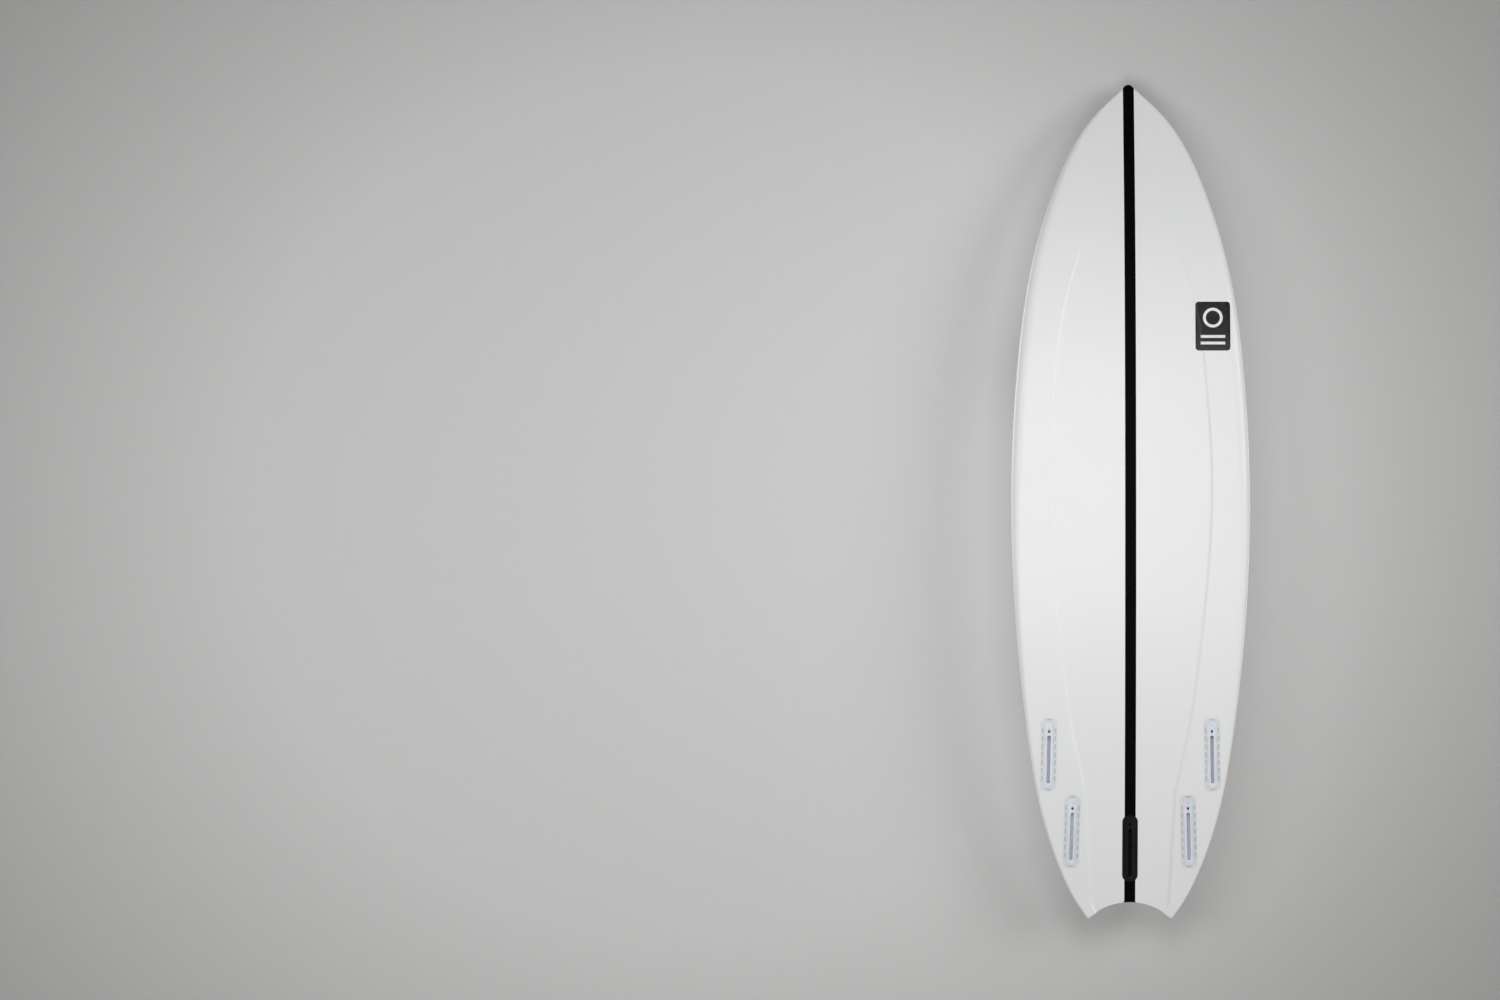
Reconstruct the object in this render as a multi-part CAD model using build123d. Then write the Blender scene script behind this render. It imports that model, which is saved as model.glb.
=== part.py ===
from build123d import *

import os
from math import atan, cos, degrees, hypot, radians, sin

os.makedirs("parts", exist_ok=True)

# All sizes are in millimetres. X runs across the board, +Y points out of the bottom and
# +Z to the nose. A station is a distance from the tail tips towards the nose, and the
# origin is on the stringer line, level with the flats of the bottom beside its recessed
# panel, halfway between tail tips and nose.

# Board
LENGTH = 1778.0
WIDTH = 508.0
THICKNESS = 63.5

# Plan shape, as (part of the length, part of half the width)
OUTLINE = (
    (0.0, 0.354),
    (0.0175, 0.440),
    (0.06, 0.590),
    (0.12, 0.733),
    (0.21, 0.855),
    (0.33, 0.950),
    (0.51, 1.000),
    (0.66, 0.946),
    (0.78, 0.826),
    (0.865, 0.656),
    (0.925, 0.473),
    (0.965, 0.277),
    (1.0, 0.016),
)
# Thickness, as (part of the length, part of the greatest thickness)
FOIL = ((0.0, 0.27), (0.17, 0.66), (0.48, 1.0), (0.83, 0.55), (1.0, 0.14))
# Rise of the bottom towards the deck side, as (part of the length, mm)
ROCKER = ((0.0, 50.0), (0.17, 19.0), (0.5, 0.0), (0.83, 48.0), (1.0, 118.0))
# Height of the rail's widest line above the bottom, as (part of the length, part of the thickness)
RAIL_LINE = ((0.0, 0.22), (0.5, 0.30), (1.0, 0.42))
# Distance that the bottom's flat stops short of the rail, as (part of the length, mm)
TUCK = ((0.0, 5.0), (0.2, 8.0), (0.5, 22.0), (0.85, 20.0), (1.0, 6.0))
RAIL_FULLNESS = 0.58
DECK_RAIL_FULLNESS = 0.72
DECK_CROWN_FULLNESS = 0.50
NOSE_RADIUS = 13.0
NOSE_HALF_ANGLE = 51.0
LOFT_STATIONS = (
    0.03, 0.07, 0.12, 0.18, 0.26, 0.36, 0.46, 0.56, 0.66, 0.75, 0.82, 0.88, 0.925, 0.955, 0.978
)
BEYOND_TAIL = 12.0

# Crescent tail. Each edge is a parabola that ends this far in from the tail tips
TAIL_DECK_APEX = 70.0
TAIL_DECK_FROM_TIP = 2.916
TAIL_BOTTOM_APEX = 30.0
TAIL_BOTTOM_FROM_TIP = 1.416

# Recessed panel of the bottom, as (part of the length, part of half the width)
PANEL_OUTLINE = (
    (0.0, 0.330),
    (0.055, 0.338),
    (0.16, 0.372),
    (0.285, 0.549),
    (0.375, 0.632),
    (0.51, 0.695),
    (0.64, 0.648),
    (0.736, 0.553),
    (0.817, 0.368),
    (0.84, 0.300),
)
PANEL_DEPTH = ((0.0, 3.0), (0.3, 3.0), (0.6, 3.0), (0.73, 1.8), (0.82, 0.0), (0.84, -0.5))
PANEL_WALL_RUN = 2.8
PANEL_STATIONS = (0.03, 0.08, 0.14, 0.2, 0.27, 0.35, 0.45, 0.55, 0.64, 0.71, 0.77, 0.81, 0.84)

# Shell
SKIN = 2.0
BOND_LINE = 0.8
STRINGER_WIDTH = 23.5
PINLINE_INSET = 8.0
PINLINE_WIDTH = 3.0
SEAM = 0.3
RIGHT = 1
LEFT = -1

# Fin boxes. Each is set by its middle's station and its distance in from the rail
FRONT_BOX_STATION = 350.0
FRONT_BOX_FROM_RAIL = 40.0
FRONT_BOX_TOE_IN = 1.0
FRONT_BOX_DEPTH = 17.0
REAR_BOX_STATION = 186.0
REAR_BOX_FROM_RAIL = 54.0
REAR_BOX_TOE_IN = 1.6
REAR_BOX_DEPTH = 13.0
CENTRE_BOX_STATION = 150.0
CENTRE_BOX_DEPTH = 16.5
SIDE_FLANGE_LENGTH = 157.0
SIDE_FLANGE_WIDTH = 35.0
CENTRE_FLANGE_LENGTH = 142.0
CENTRE_FLANGE_WIDTH = 33.0
CENTRE_FRONT_SHORTER = 9.0
FLANGE_CORNER = 14.0
FLANGE_THICKNESS = 4.0
TUB_SHORTER = 15.0
TUB_WIDTH = 19.0
SLOT_LENGTH = 102.0
SLOT_WIDTH = 7.4
SLOT_FROM_FRONT = 38.0
SLOT_FLOOR = 2.5
KEY_HOLE_LENGTH = 11.0
KEY_HOLE_WIDTH = 3.2
KEY_HOLE_PITCH = 17.0
KEY_HOLE_INSET = 3.9
PIN_HOLE_FROM_FRONT = 17.0
PIN_HOLE_RADIUS = 1.2
PIN_HOLE_DEPTH = 2.5

# Set screws that hold the fins, measured along their tilted axes
SCREW_FROM_FRONT = 28.0
SCREW_TILT = 45.0
SCREW_RADIUS = 2.5
SCREW_START = 2.9
SCREW_LENGTH = 6.6
SCREW_BEVEL = 0.4
SCREW_BORE_END = 13.8
SOCKET_RADIUS = 1.45
SOCKET_DEPTH = 3.0

# Leash plug
PLUG_FROM_TAIL_EDGE = 64.8349
PLUG_FROM_RAIL = 46.5
PLUG_FLANGE_LENGTH = 38.6
PLUG_FLANGE_WIDTH = 21.4
PLUG_FLANGE_THICKNESS = 2.6
PLUG_CUP_LENGTH = 34.0
PLUG_CUP_WIDTH = 17.0
PLUG_CUP_DEPTH = 10.0
PLUG_HOLLOW_LENGTH = 24.0
PLUG_HOLLOW_WIDTH = 8.6
PLUG_HOLLOW_DEPTH = 7.6
BAR_RADIUS = 1.6
BAR_LENGTH = 12.0
BAR_DEPTH = 3.6
PATCH_LOBE_RADIUS = 8.5
PATCH_LOBE_ACROSS = 15.5
PATCH_LOBE_ALONG = 16.0
PATCH_MIDDLE_WIDTH = 30.0
PATCH_MIDDLE_LENGTH = 40.0

# Printed marks, let into the surface
PRINT_DEPTH = 0.5
LEAF_FROM_STRINGER = 0.71
LEAF_STATION = 0.662
LEAF_LENGTH = 160.0
LEAF_WIDTH = 78.0
LEAF_SLIT_WIDTH = 4.0
RULE_FROM_STRINGER = 0.60
RULE_STATION = 0.292
RULE_LENGTH = 142.0
RULE_WIDTH = 3.0
BAR_COUNT = 11
BAR_SIZE = (7.0, 18.0)
BAR_PITCH = 12.5
BADGE_FROM_STRINGER = -0.69
BADGE_STATION = 0.709
BADGE_WIDTH = 74.0
BADGE_LENGTH = 104.0
BADGE_CORNER = 7.0
RING_RADIUS = 21.0
RING_WIDTH = 6.0
RING_ALONG = 18.0
STRIPE_LENGTH = 52.0
STRIPE_WIDTH = 6.0
STRIPE_ALONG = (-22.0, -36.0)


def fair_curve(points):
    """Give the natural cubic spline through points, as a function of the first value."""
    xs = [x for x, _ in points]
    ys = [y for _, y in points]
    count = len(points)
    bend = [0.0] * count
    share = [0.0] * count
    for i in range(1, count - 1):
        before = xs[i] - xs[i - 1]
        after = xs[i + 1] - xs[i]
        turn = 6 * ((ys[i + 1] - ys[i]) / after - (ys[i] - ys[i - 1]) / before)
        pivot = 2 * (before + after) - before * share[i - 1]
        share[i] = after / pivot
        bend[i] = (turn - before * bend[i - 1]) / pivot
    for i in range(count - 2, 0, -1):
        bend[i] -= share[i] * bend[i + 1]

    def value(x):
        i = max(k for k in range(count - 1) if k == 0 or xs[k] <= x)
        span = xs[i + 1] - xs[i]
        a = (xs[i + 1] - x) / span
        b = 1 - a
        cubic = (a**3 - a) * bend[i] + (b**3 - b) * bend[i + 1]
        return a * ys[i] + b * ys[i + 1] + cubic * span**2 / 6

    return value


outline_share = fair_curve(OUTLINE)
foil_share = fair_curve(FOIL)
rocker_height = fair_curve(ROCKER)
rail_share = fair_curve(RAIL_LINE)
tuck_width = fair_curve(TUCK)
panel_share = fair_curve(PANEL_OUTLINE)
panel_drop = fair_curve(PANEL_DEPTH)


def half_width(station):
    return outline_share(station / LENGTH) * WIDTH / 2


def inset_half_width(station, inset):
    """Half width of a plan shape that lies inset within the outline, square to it."""
    slope = half_width(station + 1) - half_width(station - 1)
    return half_width(station) - inset * hypot(1, slope / 2)


def thickness(station):
    return foil_share(station / LENGTH) * THICKNESS


def bottom_y(station):
    return rocker_height(0.5) - rocker_height(station / LENGTH)


def deck_y(station):
    return bottom_y(station) - thickness(station)


def rail_y(station):
    return bottom_y(station) - rail_share(station / LENGTH) * thickness(station)


def height(station):
    """Z of a station."""
    return station - LENGTH / 2


def last_station(inset):
    """Station where the plan shape that lies inset within the outline comes to a point."""
    low = 0.9 * LENGTH
    high = LENGTH
    if inset_half_width(high, inset) > 1.5:
        return high
    for _ in range(40):
        middle = (low + high) / 2
        if inset_half_width(middle, inset) > 1.5:
            low = middle
        else:
            high = middle
    return low


def stations_to(shares, end):
    """Stations for a loft, from beyond the tail to the end."""
    inner = [share * LENGTH for share in shares if share * LENGTH < end - 10]
    return [-BEYOND_TAIL] + inner + [end]


def body_section(station, inset):
    """Cross section of the board, with every face moved inwards by inset."""
    z = height(station)
    half = inset_half_width(station, inset)
    bottom = bottom_y(station) - inset
    top = deck_y(station) + inset
    rail = rail_y(station)
    flat = half - min(tuck_width(station / LENGTH), 0.45 * half)
    low = bottom - rail
    high = rail - top
    edges = [Line((-flat, bottom, z), (flat, bottom, z))]
    edges.append(Bezier(
        (flat, bottom, z),
        (flat + RAIL_FULLNESS * (half - flat), bottom, z),
        (half, rail + RAIL_FULLNESS * low, z),
        (half, rail, z),
    ))
    edges.append(Bezier(
        (half, rail, z),
        (half, rail - DECK_RAIL_FULLNESS * high, z),
        (DECK_CROWN_FULLNESS * half, top, z),
        (0, top, z),
    ))
    edges.append(Bezier(
        (0, top, z),
        (-DECK_CROWN_FULLNESS * half, top, z),
        (-half, rail - DECK_RAIL_FULLNESS * high, z),
        (-half, rail, z),
    ))
    edges.append(Bezier(
        (-half, rail, z),
        (-half, rail + RAIL_FULLNESS * low, z),
        (-flat - RAIL_FULLNESS * (half - flat), bottom, z),
        (-flat, bottom, z),
    ))
    return Wire(edges)


def four_sided(corners, z):
    """Closed wire through four (x, y) corners at one height."""
    return Wire.make_polygon([(x, y, z) for x, y in corners])


def hull(inset):
    """The board before its tail, nose and panel are cut, moved inwards by inset."""
    stations = stations_to(LOFT_STATIONS, last_station(inset))
    return Solid.make_loft([body_section(station, inset) for station in stations])


def tail_half_chords():
    """Half chords of the tail's edges on the bottom and on the deck."""
    return half_width(0) - TAIL_BOTTOM_FROM_TIP, half_width(0) - TAIL_DECK_FROM_TIP


def tail_edge(x):
    """Station of the tail's edge on the deck, at a distance from the stringer line."""
    return TAIL_DECK_APEX * (1 - (x / tail_half_chords()[1]) ** 2)


def tail_cutter(back, spread):
    """What the crescent tail takes away, moved back into the board by these distances."""
    low_y = bottom_y(TAIL_BOTTOM_APEX)
    high_y = deck_y(TAIL_DECK_APEX)
    low_chord, high_chord = tail_half_chords()
    reach = WIDTH / 4
    wires = []
    for beyond in (-0.6, 1.6):
        y = low_y + beyond * (high_y - low_y)
        apex = back + TAIL_BOTTOM_APEX + beyond * (TAIL_DECK_APEX - TAIL_BOTTOM_APEX)
        low_fall = TAIL_BOTTOM_APEX / (low_chord + spread) ** 2
        high_fall = TAIL_DECK_APEX / (high_chord + spread) ** 2
        fall = (low_fall + beyond * (high_fall - low_fall)) * reach**2
        below = height(-12 * BEYOND_TAIL)
        wires.append(Wire([
            Bezier(
                (-reach, y, height(apex - fall)),
                (0, y, height(apex + fall)),
                (reach, y, height(apex - fall)),
            ),
            Line((reach, y, height(apex - fall)), (reach, y, below)),
            Line((reach, y, below), (-reach, y, below)),
            Line((-reach, y, below), (-reach, y, height(apex - fall))),
        ]))
    return Solid.make_loft(wires, ruled=True)


def panel_cutter(inset):
    """What the recessed panel takes away from the board moved inwards by inset."""
    wires = []
    for station in [-BEYOND_TAIL] + [share * LENGTH for share in PANEL_STATIONS]:
        half = panel_share(station / LENGTH) * WIDTH / 2
        drop = panel_drop(station / LENGTH)
        surface = bottom_y(station) - inset
        floor_half = half - PANEL_WALL_RUN * drop
        mouth_half = half + PANEL_WALL_RUN
        corners = (
            (-mouth_half, surface + 1),
            (-floor_half, surface - drop),
            (floor_half, surface - drop),
            (mouth_half, surface + 1),
        )
        wires.append(four_sided(corners, height(station)))
    return Solid.make_loft(wires)


def nose_cutter():
    """What rounding the nose in plan takes away."""
    centre = LENGTH - NOSE_RADIUS
    start = centre + NOSE_RADIUS * sin(radians(NOSE_HALF_ANGLE))
    top = Pos(0, deck_y(LENGTH), height(start + 50)) * Box(WIDTH, 400, 100)
    across = Rot(X=90) * Cylinder(NOSE_RADIUS, 800)
    return top - Pos(0, 0, height(centre)) * across


def below_tips():
    """What lies below the blunt ends of the tail tips."""
    return Pos(0, 0, height(-100)) * Box(2 * WIDTH, 800, 200)


def blank(inset):
    """The finished board as one solid, with every face moved inwards by inset."""
    shape = hull(inset) - tail_cutter(2.1 * inset, 1.6 * inset) - panel_cutter(inset)
    return shape - below_tips() - nose_cutter()


def deck_zone(side, tail):
    """Everything above the rails, within side of the outline and tail of the tail's edge."""
    end = last_station(side)
    wires = []
    for station in stations_to(LOFT_STATIONS, end):
        half = inset_half_width(station, side)
        corners = (
            (-half, rail_y(station)),
            (half, rail_y(station)),
            (half, deck_y(station) - 20),
            (-half, deck_y(station) - 20),
        )
        wires.append(four_sided(corners, height(station)))
    zone = Solid.make_loft(wires)
    if tail > 0:
        zone = zone - tail_cutter(tail, 1.2 * tail)
    return zone


def bezier_value(t, ends):
    a, b, c, d = ends
    return a * (1 - t) ** 3 + 3 * b * t * (1 - t) ** 2 + 3 * c * t**2 * (1 - t) + d * t**3


def deck_surface_y(x, station):
    """Height of the deck's surface, from the curve of its cross section."""
    half = half_width(station)
    rail = rail_y(station)
    top = deck_y(station)
    full = rail + DECK_RAIL_FULLNESS * (top - rail)
    near = 0.0
    far = 1.0
    for _ in range(40):
        middle = (near + far) / 2
        if bezier_value(middle, (half, half, DECK_CROWN_FULLNESS * half, 0)) > abs(x):
            near = middle
        else:
            far = middle
    return bezier_value(near, (rail, full, top, top))


def at_bottom(x, station, depth=0.0, toe_in=0.0):
    """Place on the bottom, with local +Y straight out of it and +Z towards the nose."""
    slope = (bottom_y(station + 1) - bottom_y(station - 1)) / 2
    turned = Rot(X=-degrees(atan(slope))) * Rot(Y=-toe_in if x > 0 else toe_in)
    return Pos(x, bottom_y(station) - depth, height(station)) * turned


def at_deck(x, station):
    """Place on the deck, with local +Y straight out of it and +Z towards the nose."""
    across = (deck_surface_y(x + 1, station) - deck_surface_y(x - 1, station)) / 2
    along = (deck_surface_y(x, station + 1) - deck_surface_y(x, station - 1)) / 2
    outward = Vector(across, -1, along).normalized()
    forward = Vector(0, along, 1).normalized()
    origin = (x, deck_surface_y(x, station), height(station))
    return Plane(origin, x_dir=outward.cross(forward), z_dir=forward).location


def plate(outline, above, below):
    """An outline, drawn across and along the board, made solid from above to below."""
    return extrude(Plane.XZ.offset(-above) * outline, above + below)


def slot_along(length, width):
    """Outline of a slot with round ends that runs along the board."""
    return SlotOverall(length, width, rotation=90)


class FinBox:
    """Sizes and place of one fin box."""

    def __init__(self, x, station, depth, toe_in, length, width, sunk=0.0, front_shorter=0.0):
        self.place = at_bottom(x, station, sunk, toe_in)
        self.depth = depth
        self.length = length
        self.width = width
        self.slot_depth = depth - SLOT_FLOOR
        fittings_front = length / 2 + front_shorter
        self.pin_hole = fittings_front - PIN_HOLE_FROM_FRONT
        self.screw_mouth = fittings_front - SCREW_FROM_FRONT
        self.slot_middle = fittings_front - SLOT_FROM_FRONT - SLOT_LENGTH / 2

    def envelope(self, grow):
        """Flange and tub without holes, grown by a clearance."""
        flange = RectangleRounded(self.width + 2 * grow, self.length + 2 * grow, FLANGE_CORNER)
        tub = RectangleRounded(
            TUB_WIDTH + 2 * grow,
            self.length - TUB_SHORTER + 2 * grow,
            TUB_WIDTH / 2 - 0.5,
        )
        shape = plate(flange, 3, FLANGE_THICKNESS + grow) + plate(tub, 3, self.depth + grow)
        return self.place * shape

    def screw_place(self):
        """Place in the box whose Z runs inwards along the screw's axis."""
        tilt = radians(SCREW_TILT)
        start = (0, 0, self.screw_mouth)
        return Plane(start, x_dir=(1, 0, 0), z_dir=(0, -sin(tilt), -cos(tilt))).location

    def key_holes(self):
        """Row of holes in the flange that resin keys into."""
        across = self.width / 2 - KEY_HOLE_INSET
        count = int((self.length - 50) / KEY_HOLE_PITCH)
        holes = []
        for side in (LEFT, RIGHT):
            for i in range(count + 1):
                along = (i - count / 2) * KEY_HOLE_PITCH
                hole = plate(slot_along(KEY_HOLE_LENGTH, KEY_HOLE_WIDTH), 5, FLANGE_THICKNESS + 1)
                holes.append(Pos(side * across, 0, along) * hole)
        for end in (-1, 1):
            hole = plate(SlotOverall(KEY_HOLE_LENGTH, KEY_HOLE_WIDTH), 5, FLANGE_THICKNESS + 1)
            holes.append(Pos(0, 0, end * (self.length / 2 - KEY_HOLE_INSET)) * hole)
        return holes

    def box(self, board):
        """The box itself, flush with the bottom."""
        slot = plate(slot_along(SLOT_LENGTH, SLOT_WIDTH), 5, self.slot_depth)
        pin_hole = plate(Circle(PIN_HOLE_RADIUS), 5, PIN_HOLE_DEPTH)
        bore = Cylinder(
            SCREW_RADIUS + SEAM,
            SCREW_BORE_END + 12,
            align=(Align.CENTER, Align.CENTER, Align.MIN),
        )
        holes = self.key_holes()
        holes.append(Pos(0, 0, self.slot_middle) * slot)
        holes.append(Pos(0, 0, self.pin_hole) * pin_hole)
        holes.append(self.screw_place() * Pos(0, 0, -12) * bore)
        return (self.envelope(0) & board) - [self.place * hole for hole in holes]

    def screw(self):
        """The set screw, backed off clear of the slot."""
        shank = Cylinder(
            SCREW_RADIUS,
            SCREW_LENGTH,
            align=(Align.CENTER, Align.CENTER, Align.MIN),
        )
        shank = chamfer(shank.edges().filter_by(GeomType.CIRCLE), SCREW_BEVEL)
        socket = extrude(RegularPolygon(SOCKET_RADIUS, 6), SOCKET_DEPTH)
        return self.place * self.screw_place() * Pos(0, 0, SCREW_START) * (shank - socket)


def side_box(side, station, from_rail, depth, toe_in):
    x = side * (half_width(station) - from_rail)
    return FinBox(x, station, depth, toe_in, SIDE_FLANGE_LENGTH, SIDE_FLANGE_WIDTH)


def plug_station():
    """Station that is the set distance above the tail's edge at the plug's own x."""
    low = 0.0
    high = LENGTH / 4
    for _ in range(50):
        middle = (low + high) / 2
        if middle - tail_edge(half_width(middle) - PLUG_FROM_RAIL) < PLUG_FROM_TAIL_EDGE:
            low = middle
        else:
            high = middle
    return low


def plug_envelope(place, grow):
    """Leash plug without its hollow, grown by a clearance."""
    flange = slot_along(PLUG_FLANGE_LENGTH + 2 * grow, PLUG_FLANGE_WIDTH + 2 * grow)
    cup = slot_along(PLUG_CUP_LENGTH + 2 * grow, PLUG_CUP_WIDTH + 2 * grow)
    above = 3
    shape = plate(flange, above, PLUG_FLANGE_THICKNESS + grow)
    return place * (shape + plate(cup, above, PLUG_CUP_DEPTH + grow))


def bar_rod(place, grow):
    """Rod across the leash plug, grown by a clearance."""
    rod = Rot(Y=90) * Cylinder(BAR_RADIUS + grow, BAR_LENGTH + 2 * grow)
    return place * Pos(0, -BAR_DEPTH, 0) * rod


def patch_outline(grow):
    """Plain patch with four round lobes about the leash plug."""
    shape = RectangleRounded(PATCH_MIDDLE_WIDTH + 2 * grow, PATCH_MIDDLE_LENGTH + 2 * grow, 4)
    for across in (-PATCH_LOBE_ACROSS, PATCH_LOBE_ACROSS):
        for along in (-PATCH_LOBE_ALONG, PATCH_LOBE_ALONG):
            shape += Pos(across, along) * Circle(PATCH_LOBE_RADIUS + grow)
    return shape


def leaf_outline(grow):
    """Plain pointed leaf between two arcs."""
    tip = LEAF_LENGTH / 2 + grow
    side = LEAF_WIDTH / 2 + grow
    right_arc = ThreePointArc((0, -tip), (side, 0), (0, tip))
    left_arc = ThreePointArc((0, tip), (-side, 0), (0, -tip))
    return make_face(right_arc + left_arc)


def rule_outline(grow):
    """Plain rule with a row of plain bars above it."""
    shape = Rectangle(RULE_LENGTH + 2 * grow, RULE_WIDTH + 2 * grow)
    bar = Rectangle(BAR_SIZE[0] + 2 * grow, BAR_SIZE[1] + 2 * grow)
    for i in range(BAR_COUNT):
        across = (i - (BAR_COUNT - 1) / 2) * BAR_PITCH
        shape += Pos(across, RULE_WIDTH + 4 + BAR_SIZE[1] / 2) * bar
    return shape


def badge_outline(grow):
    return RectangleRounded(BADGE_WIDTH + 2 * grow, BADGE_LENGTH + 2 * grow, BADGE_CORNER)


def glyph_outline(grow):
    """Plain ring over two stripes."""
    ring = Circle(RING_RADIUS + grow) - Circle(RING_RADIUS - RING_WIDTH - grow)
    shape = Pos(0, RING_ALONG) * ring
    for along in STRIPE_ALONG:
        shape += Pos(0, along) * Rectangle(STRIPE_LENGTH + 2 * grow, STRIPE_WIDTH + 2 * grow)
    return shape


def through_skin(outline, place):
    """Outline carried through the skin at a place."""
    return place * plate(outline, 15, 8)


board = blank(0)
under_skin = blank(SKIN)
foam = blank(SKIN + BOND_LINE)
print_floor = blank(PRINT_DEPTH)
pocket_floor = blank(PRINT_DEPTH + SEAM)

slab = Box(STRINGER_WIDTH, 400, 2 * LENGTH)
side_room = Box(WIDTH, 400, 2 * LENGTH, align=(Align.MIN, Align.CENTER, Align.CENTER))
right_side = Pos(STRINGER_WIDTH / 2, 0, 0) * side_room
left_side = Rot(Z=180) * right_side

boxes = {
    "front_left": side_box(
        LEFT, FRONT_BOX_STATION, FRONT_BOX_FROM_RAIL, FRONT_BOX_DEPTH, FRONT_BOX_TOE_IN
    ),
    "front_right": side_box(
        RIGHT, FRONT_BOX_STATION, FRONT_BOX_FROM_RAIL, FRONT_BOX_DEPTH, FRONT_BOX_TOE_IN
    ),
    "rear_left": side_box(
        LEFT, REAR_BOX_STATION, REAR_BOX_FROM_RAIL, REAR_BOX_DEPTH, REAR_BOX_TOE_IN
    ),
    "rear_right": side_box(
        RIGHT, REAR_BOX_STATION, REAR_BOX_FROM_RAIL, REAR_BOX_DEPTH, REAR_BOX_TOE_IN
    ),
    "centre": FinBox(
        0,
        CENTRE_BOX_STATION,
        CENTRE_BOX_DEPTH,
        0,
        CENTRE_FLANGE_LENGTH,
        CENTRE_FLANGE_WIDTH,
        sunk=panel_drop(CENTRE_BOX_STATION / LENGTH),
        front_shorter=CENTRE_FRONT_SHORTER,
    ),
}
plug_x = half_width(plug_station()) - PLUG_FROM_RAIL
plug_place = at_deck(plug_x, plug_station())

leaf_station = LEAF_STATION * LENGTH
leaf_place = at_deck(LEAF_FROM_STRINGER * WIDTH / 2, leaf_station)
rule_station = RULE_STATION * LENGTH
rule_place = at_deck(RULE_FROM_STRINGER * WIDTH / 2, rule_station)
badge_station = BADGE_STATION * LENGTH
badge_place = at_bottom(BADGE_FROM_STRINGER * WIDTH / 2, badge_station)

pockets = [box.envelope(SEAM) for box in boxes.values()]
plug_pocket = plug_envelope(plug_place, SEAM)

# Skins and cores
rail_layer = deck_zone(PINLINE_INSET - SEAM, 0) - hull(SKIN + SEAM)
core_layer = deck_zone(PINLINE_INSET - SEAM, 0) - hull(SKIN + BOND_LINE)
line_layer = deck_zone(PINLINE_INSET, 0) - hull(SKIN)
inner_inset = PINLINE_INSET + PINLINE_WIDTH
skin_layer = deck_zone(inner_inset + SEAM, PINLINE_WIDTH + SEAM) - hull(SKIN)
deck_prints = [
    through_skin(leaf_outline(SEAM), leaf_place),
    through_skin(rule_outline(SEAM), rule_place),
    through_skin(patch_outline(SEAM), plug_place),
]
badge_pocket = through_skin(badge_outline(SEAM), badge_place) - pocket_floor

pinline = (board & line_layer) - deck_zone(inner_inset, PINLINE_WIDTH)
deck_skin = (board & skin_layer) - [print_room - pocket_floor for print_room in deck_prints]
laminate = board - under_skin - rail_layer - slab - pockets - badge_pocket

parts = {
    "foam_core_left": (foam & left_side) - pockets - plug_pocket,
    "foam_core_right": (foam & right_side) - pockets - plug_pocket,
    "stringer": (board & slab) - core_layer - pockets,
    "deck_skin": deck_skin - plug_pocket,
    "deck_pinline": pinline - plug_pocket,
    "laminate_left": laminate & left_side,
    "laminate_right": laminate & right_side,
}

# Fin boxes and their set screws
for name, box in boxes.items():
    parts["fin_box_" + name] = box.box(board)
    parts["fin_screw_" + name] = box.screw()

# Leash plug
hollow = plug_place * plate(
    slot_along(PLUG_HOLLOW_LENGTH, PLUG_HOLLOW_WIDTH), 5, PLUG_HOLLOW_DEPTH
)
plug = plug_envelope(plug_place, 0) & board
parts["leash_plug"] = plug - hollow - bar_rod(plug_place, 0.2)
parts["leash_bar"] = bar_rod(plug_place, 0)

# Printed marks
printed = board - print_floor
slit = Rectangle(LEAF_SLIT_WIDTH, LEAF_LENGTH * 0.8)
parts["leash_patch"] = (through_skin(patch_outline(0), plug_place) & printed) - plug_pocket
parts["deck_mark"] = through_skin(leaf_outline(0) - slit, leaf_place) & printed
parts["deck_rule_mark"] = through_skin(rule_outline(0), rule_place) & printed
badge = badge_outline(0) - glyph_outline(SEAM)
parts["bottom_badge"] = through_skin(badge, badge_place) & printed
parts["badge_glyph"] = through_skin(glyph_outline(0), badge_place) & printed

for name, shape in parts.items():
    export_step(shape, "parts/" + name + ".step")
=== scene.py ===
"""Looks of a short surfboard: smooth skins, fin boxes, set screws, leash plug, marks and studio."""
import math

import bmesh
import bpy
import numpy as np
from mathutils import Matrix, Vector


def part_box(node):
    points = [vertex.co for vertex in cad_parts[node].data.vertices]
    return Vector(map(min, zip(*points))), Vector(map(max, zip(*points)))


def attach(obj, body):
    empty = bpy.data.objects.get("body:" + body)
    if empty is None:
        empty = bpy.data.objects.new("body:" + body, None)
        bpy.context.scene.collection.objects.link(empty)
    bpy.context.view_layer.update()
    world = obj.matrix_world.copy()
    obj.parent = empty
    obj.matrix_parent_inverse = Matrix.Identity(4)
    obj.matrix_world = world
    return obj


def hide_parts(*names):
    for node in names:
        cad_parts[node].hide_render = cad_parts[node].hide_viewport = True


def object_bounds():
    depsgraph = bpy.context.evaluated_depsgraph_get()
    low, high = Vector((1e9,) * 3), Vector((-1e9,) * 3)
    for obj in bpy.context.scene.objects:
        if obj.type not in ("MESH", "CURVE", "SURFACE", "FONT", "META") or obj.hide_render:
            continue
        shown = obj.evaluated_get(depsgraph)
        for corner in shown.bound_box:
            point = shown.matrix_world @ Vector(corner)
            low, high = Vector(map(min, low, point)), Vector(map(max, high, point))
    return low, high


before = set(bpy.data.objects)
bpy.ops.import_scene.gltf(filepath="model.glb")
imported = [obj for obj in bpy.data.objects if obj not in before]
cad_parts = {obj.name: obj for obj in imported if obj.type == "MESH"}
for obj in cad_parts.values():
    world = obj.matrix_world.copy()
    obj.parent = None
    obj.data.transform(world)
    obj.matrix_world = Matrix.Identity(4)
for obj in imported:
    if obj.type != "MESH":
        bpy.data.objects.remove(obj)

cad_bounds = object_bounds()

MM = 0.001
LEFT = -1
RIGHT = 1

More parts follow.
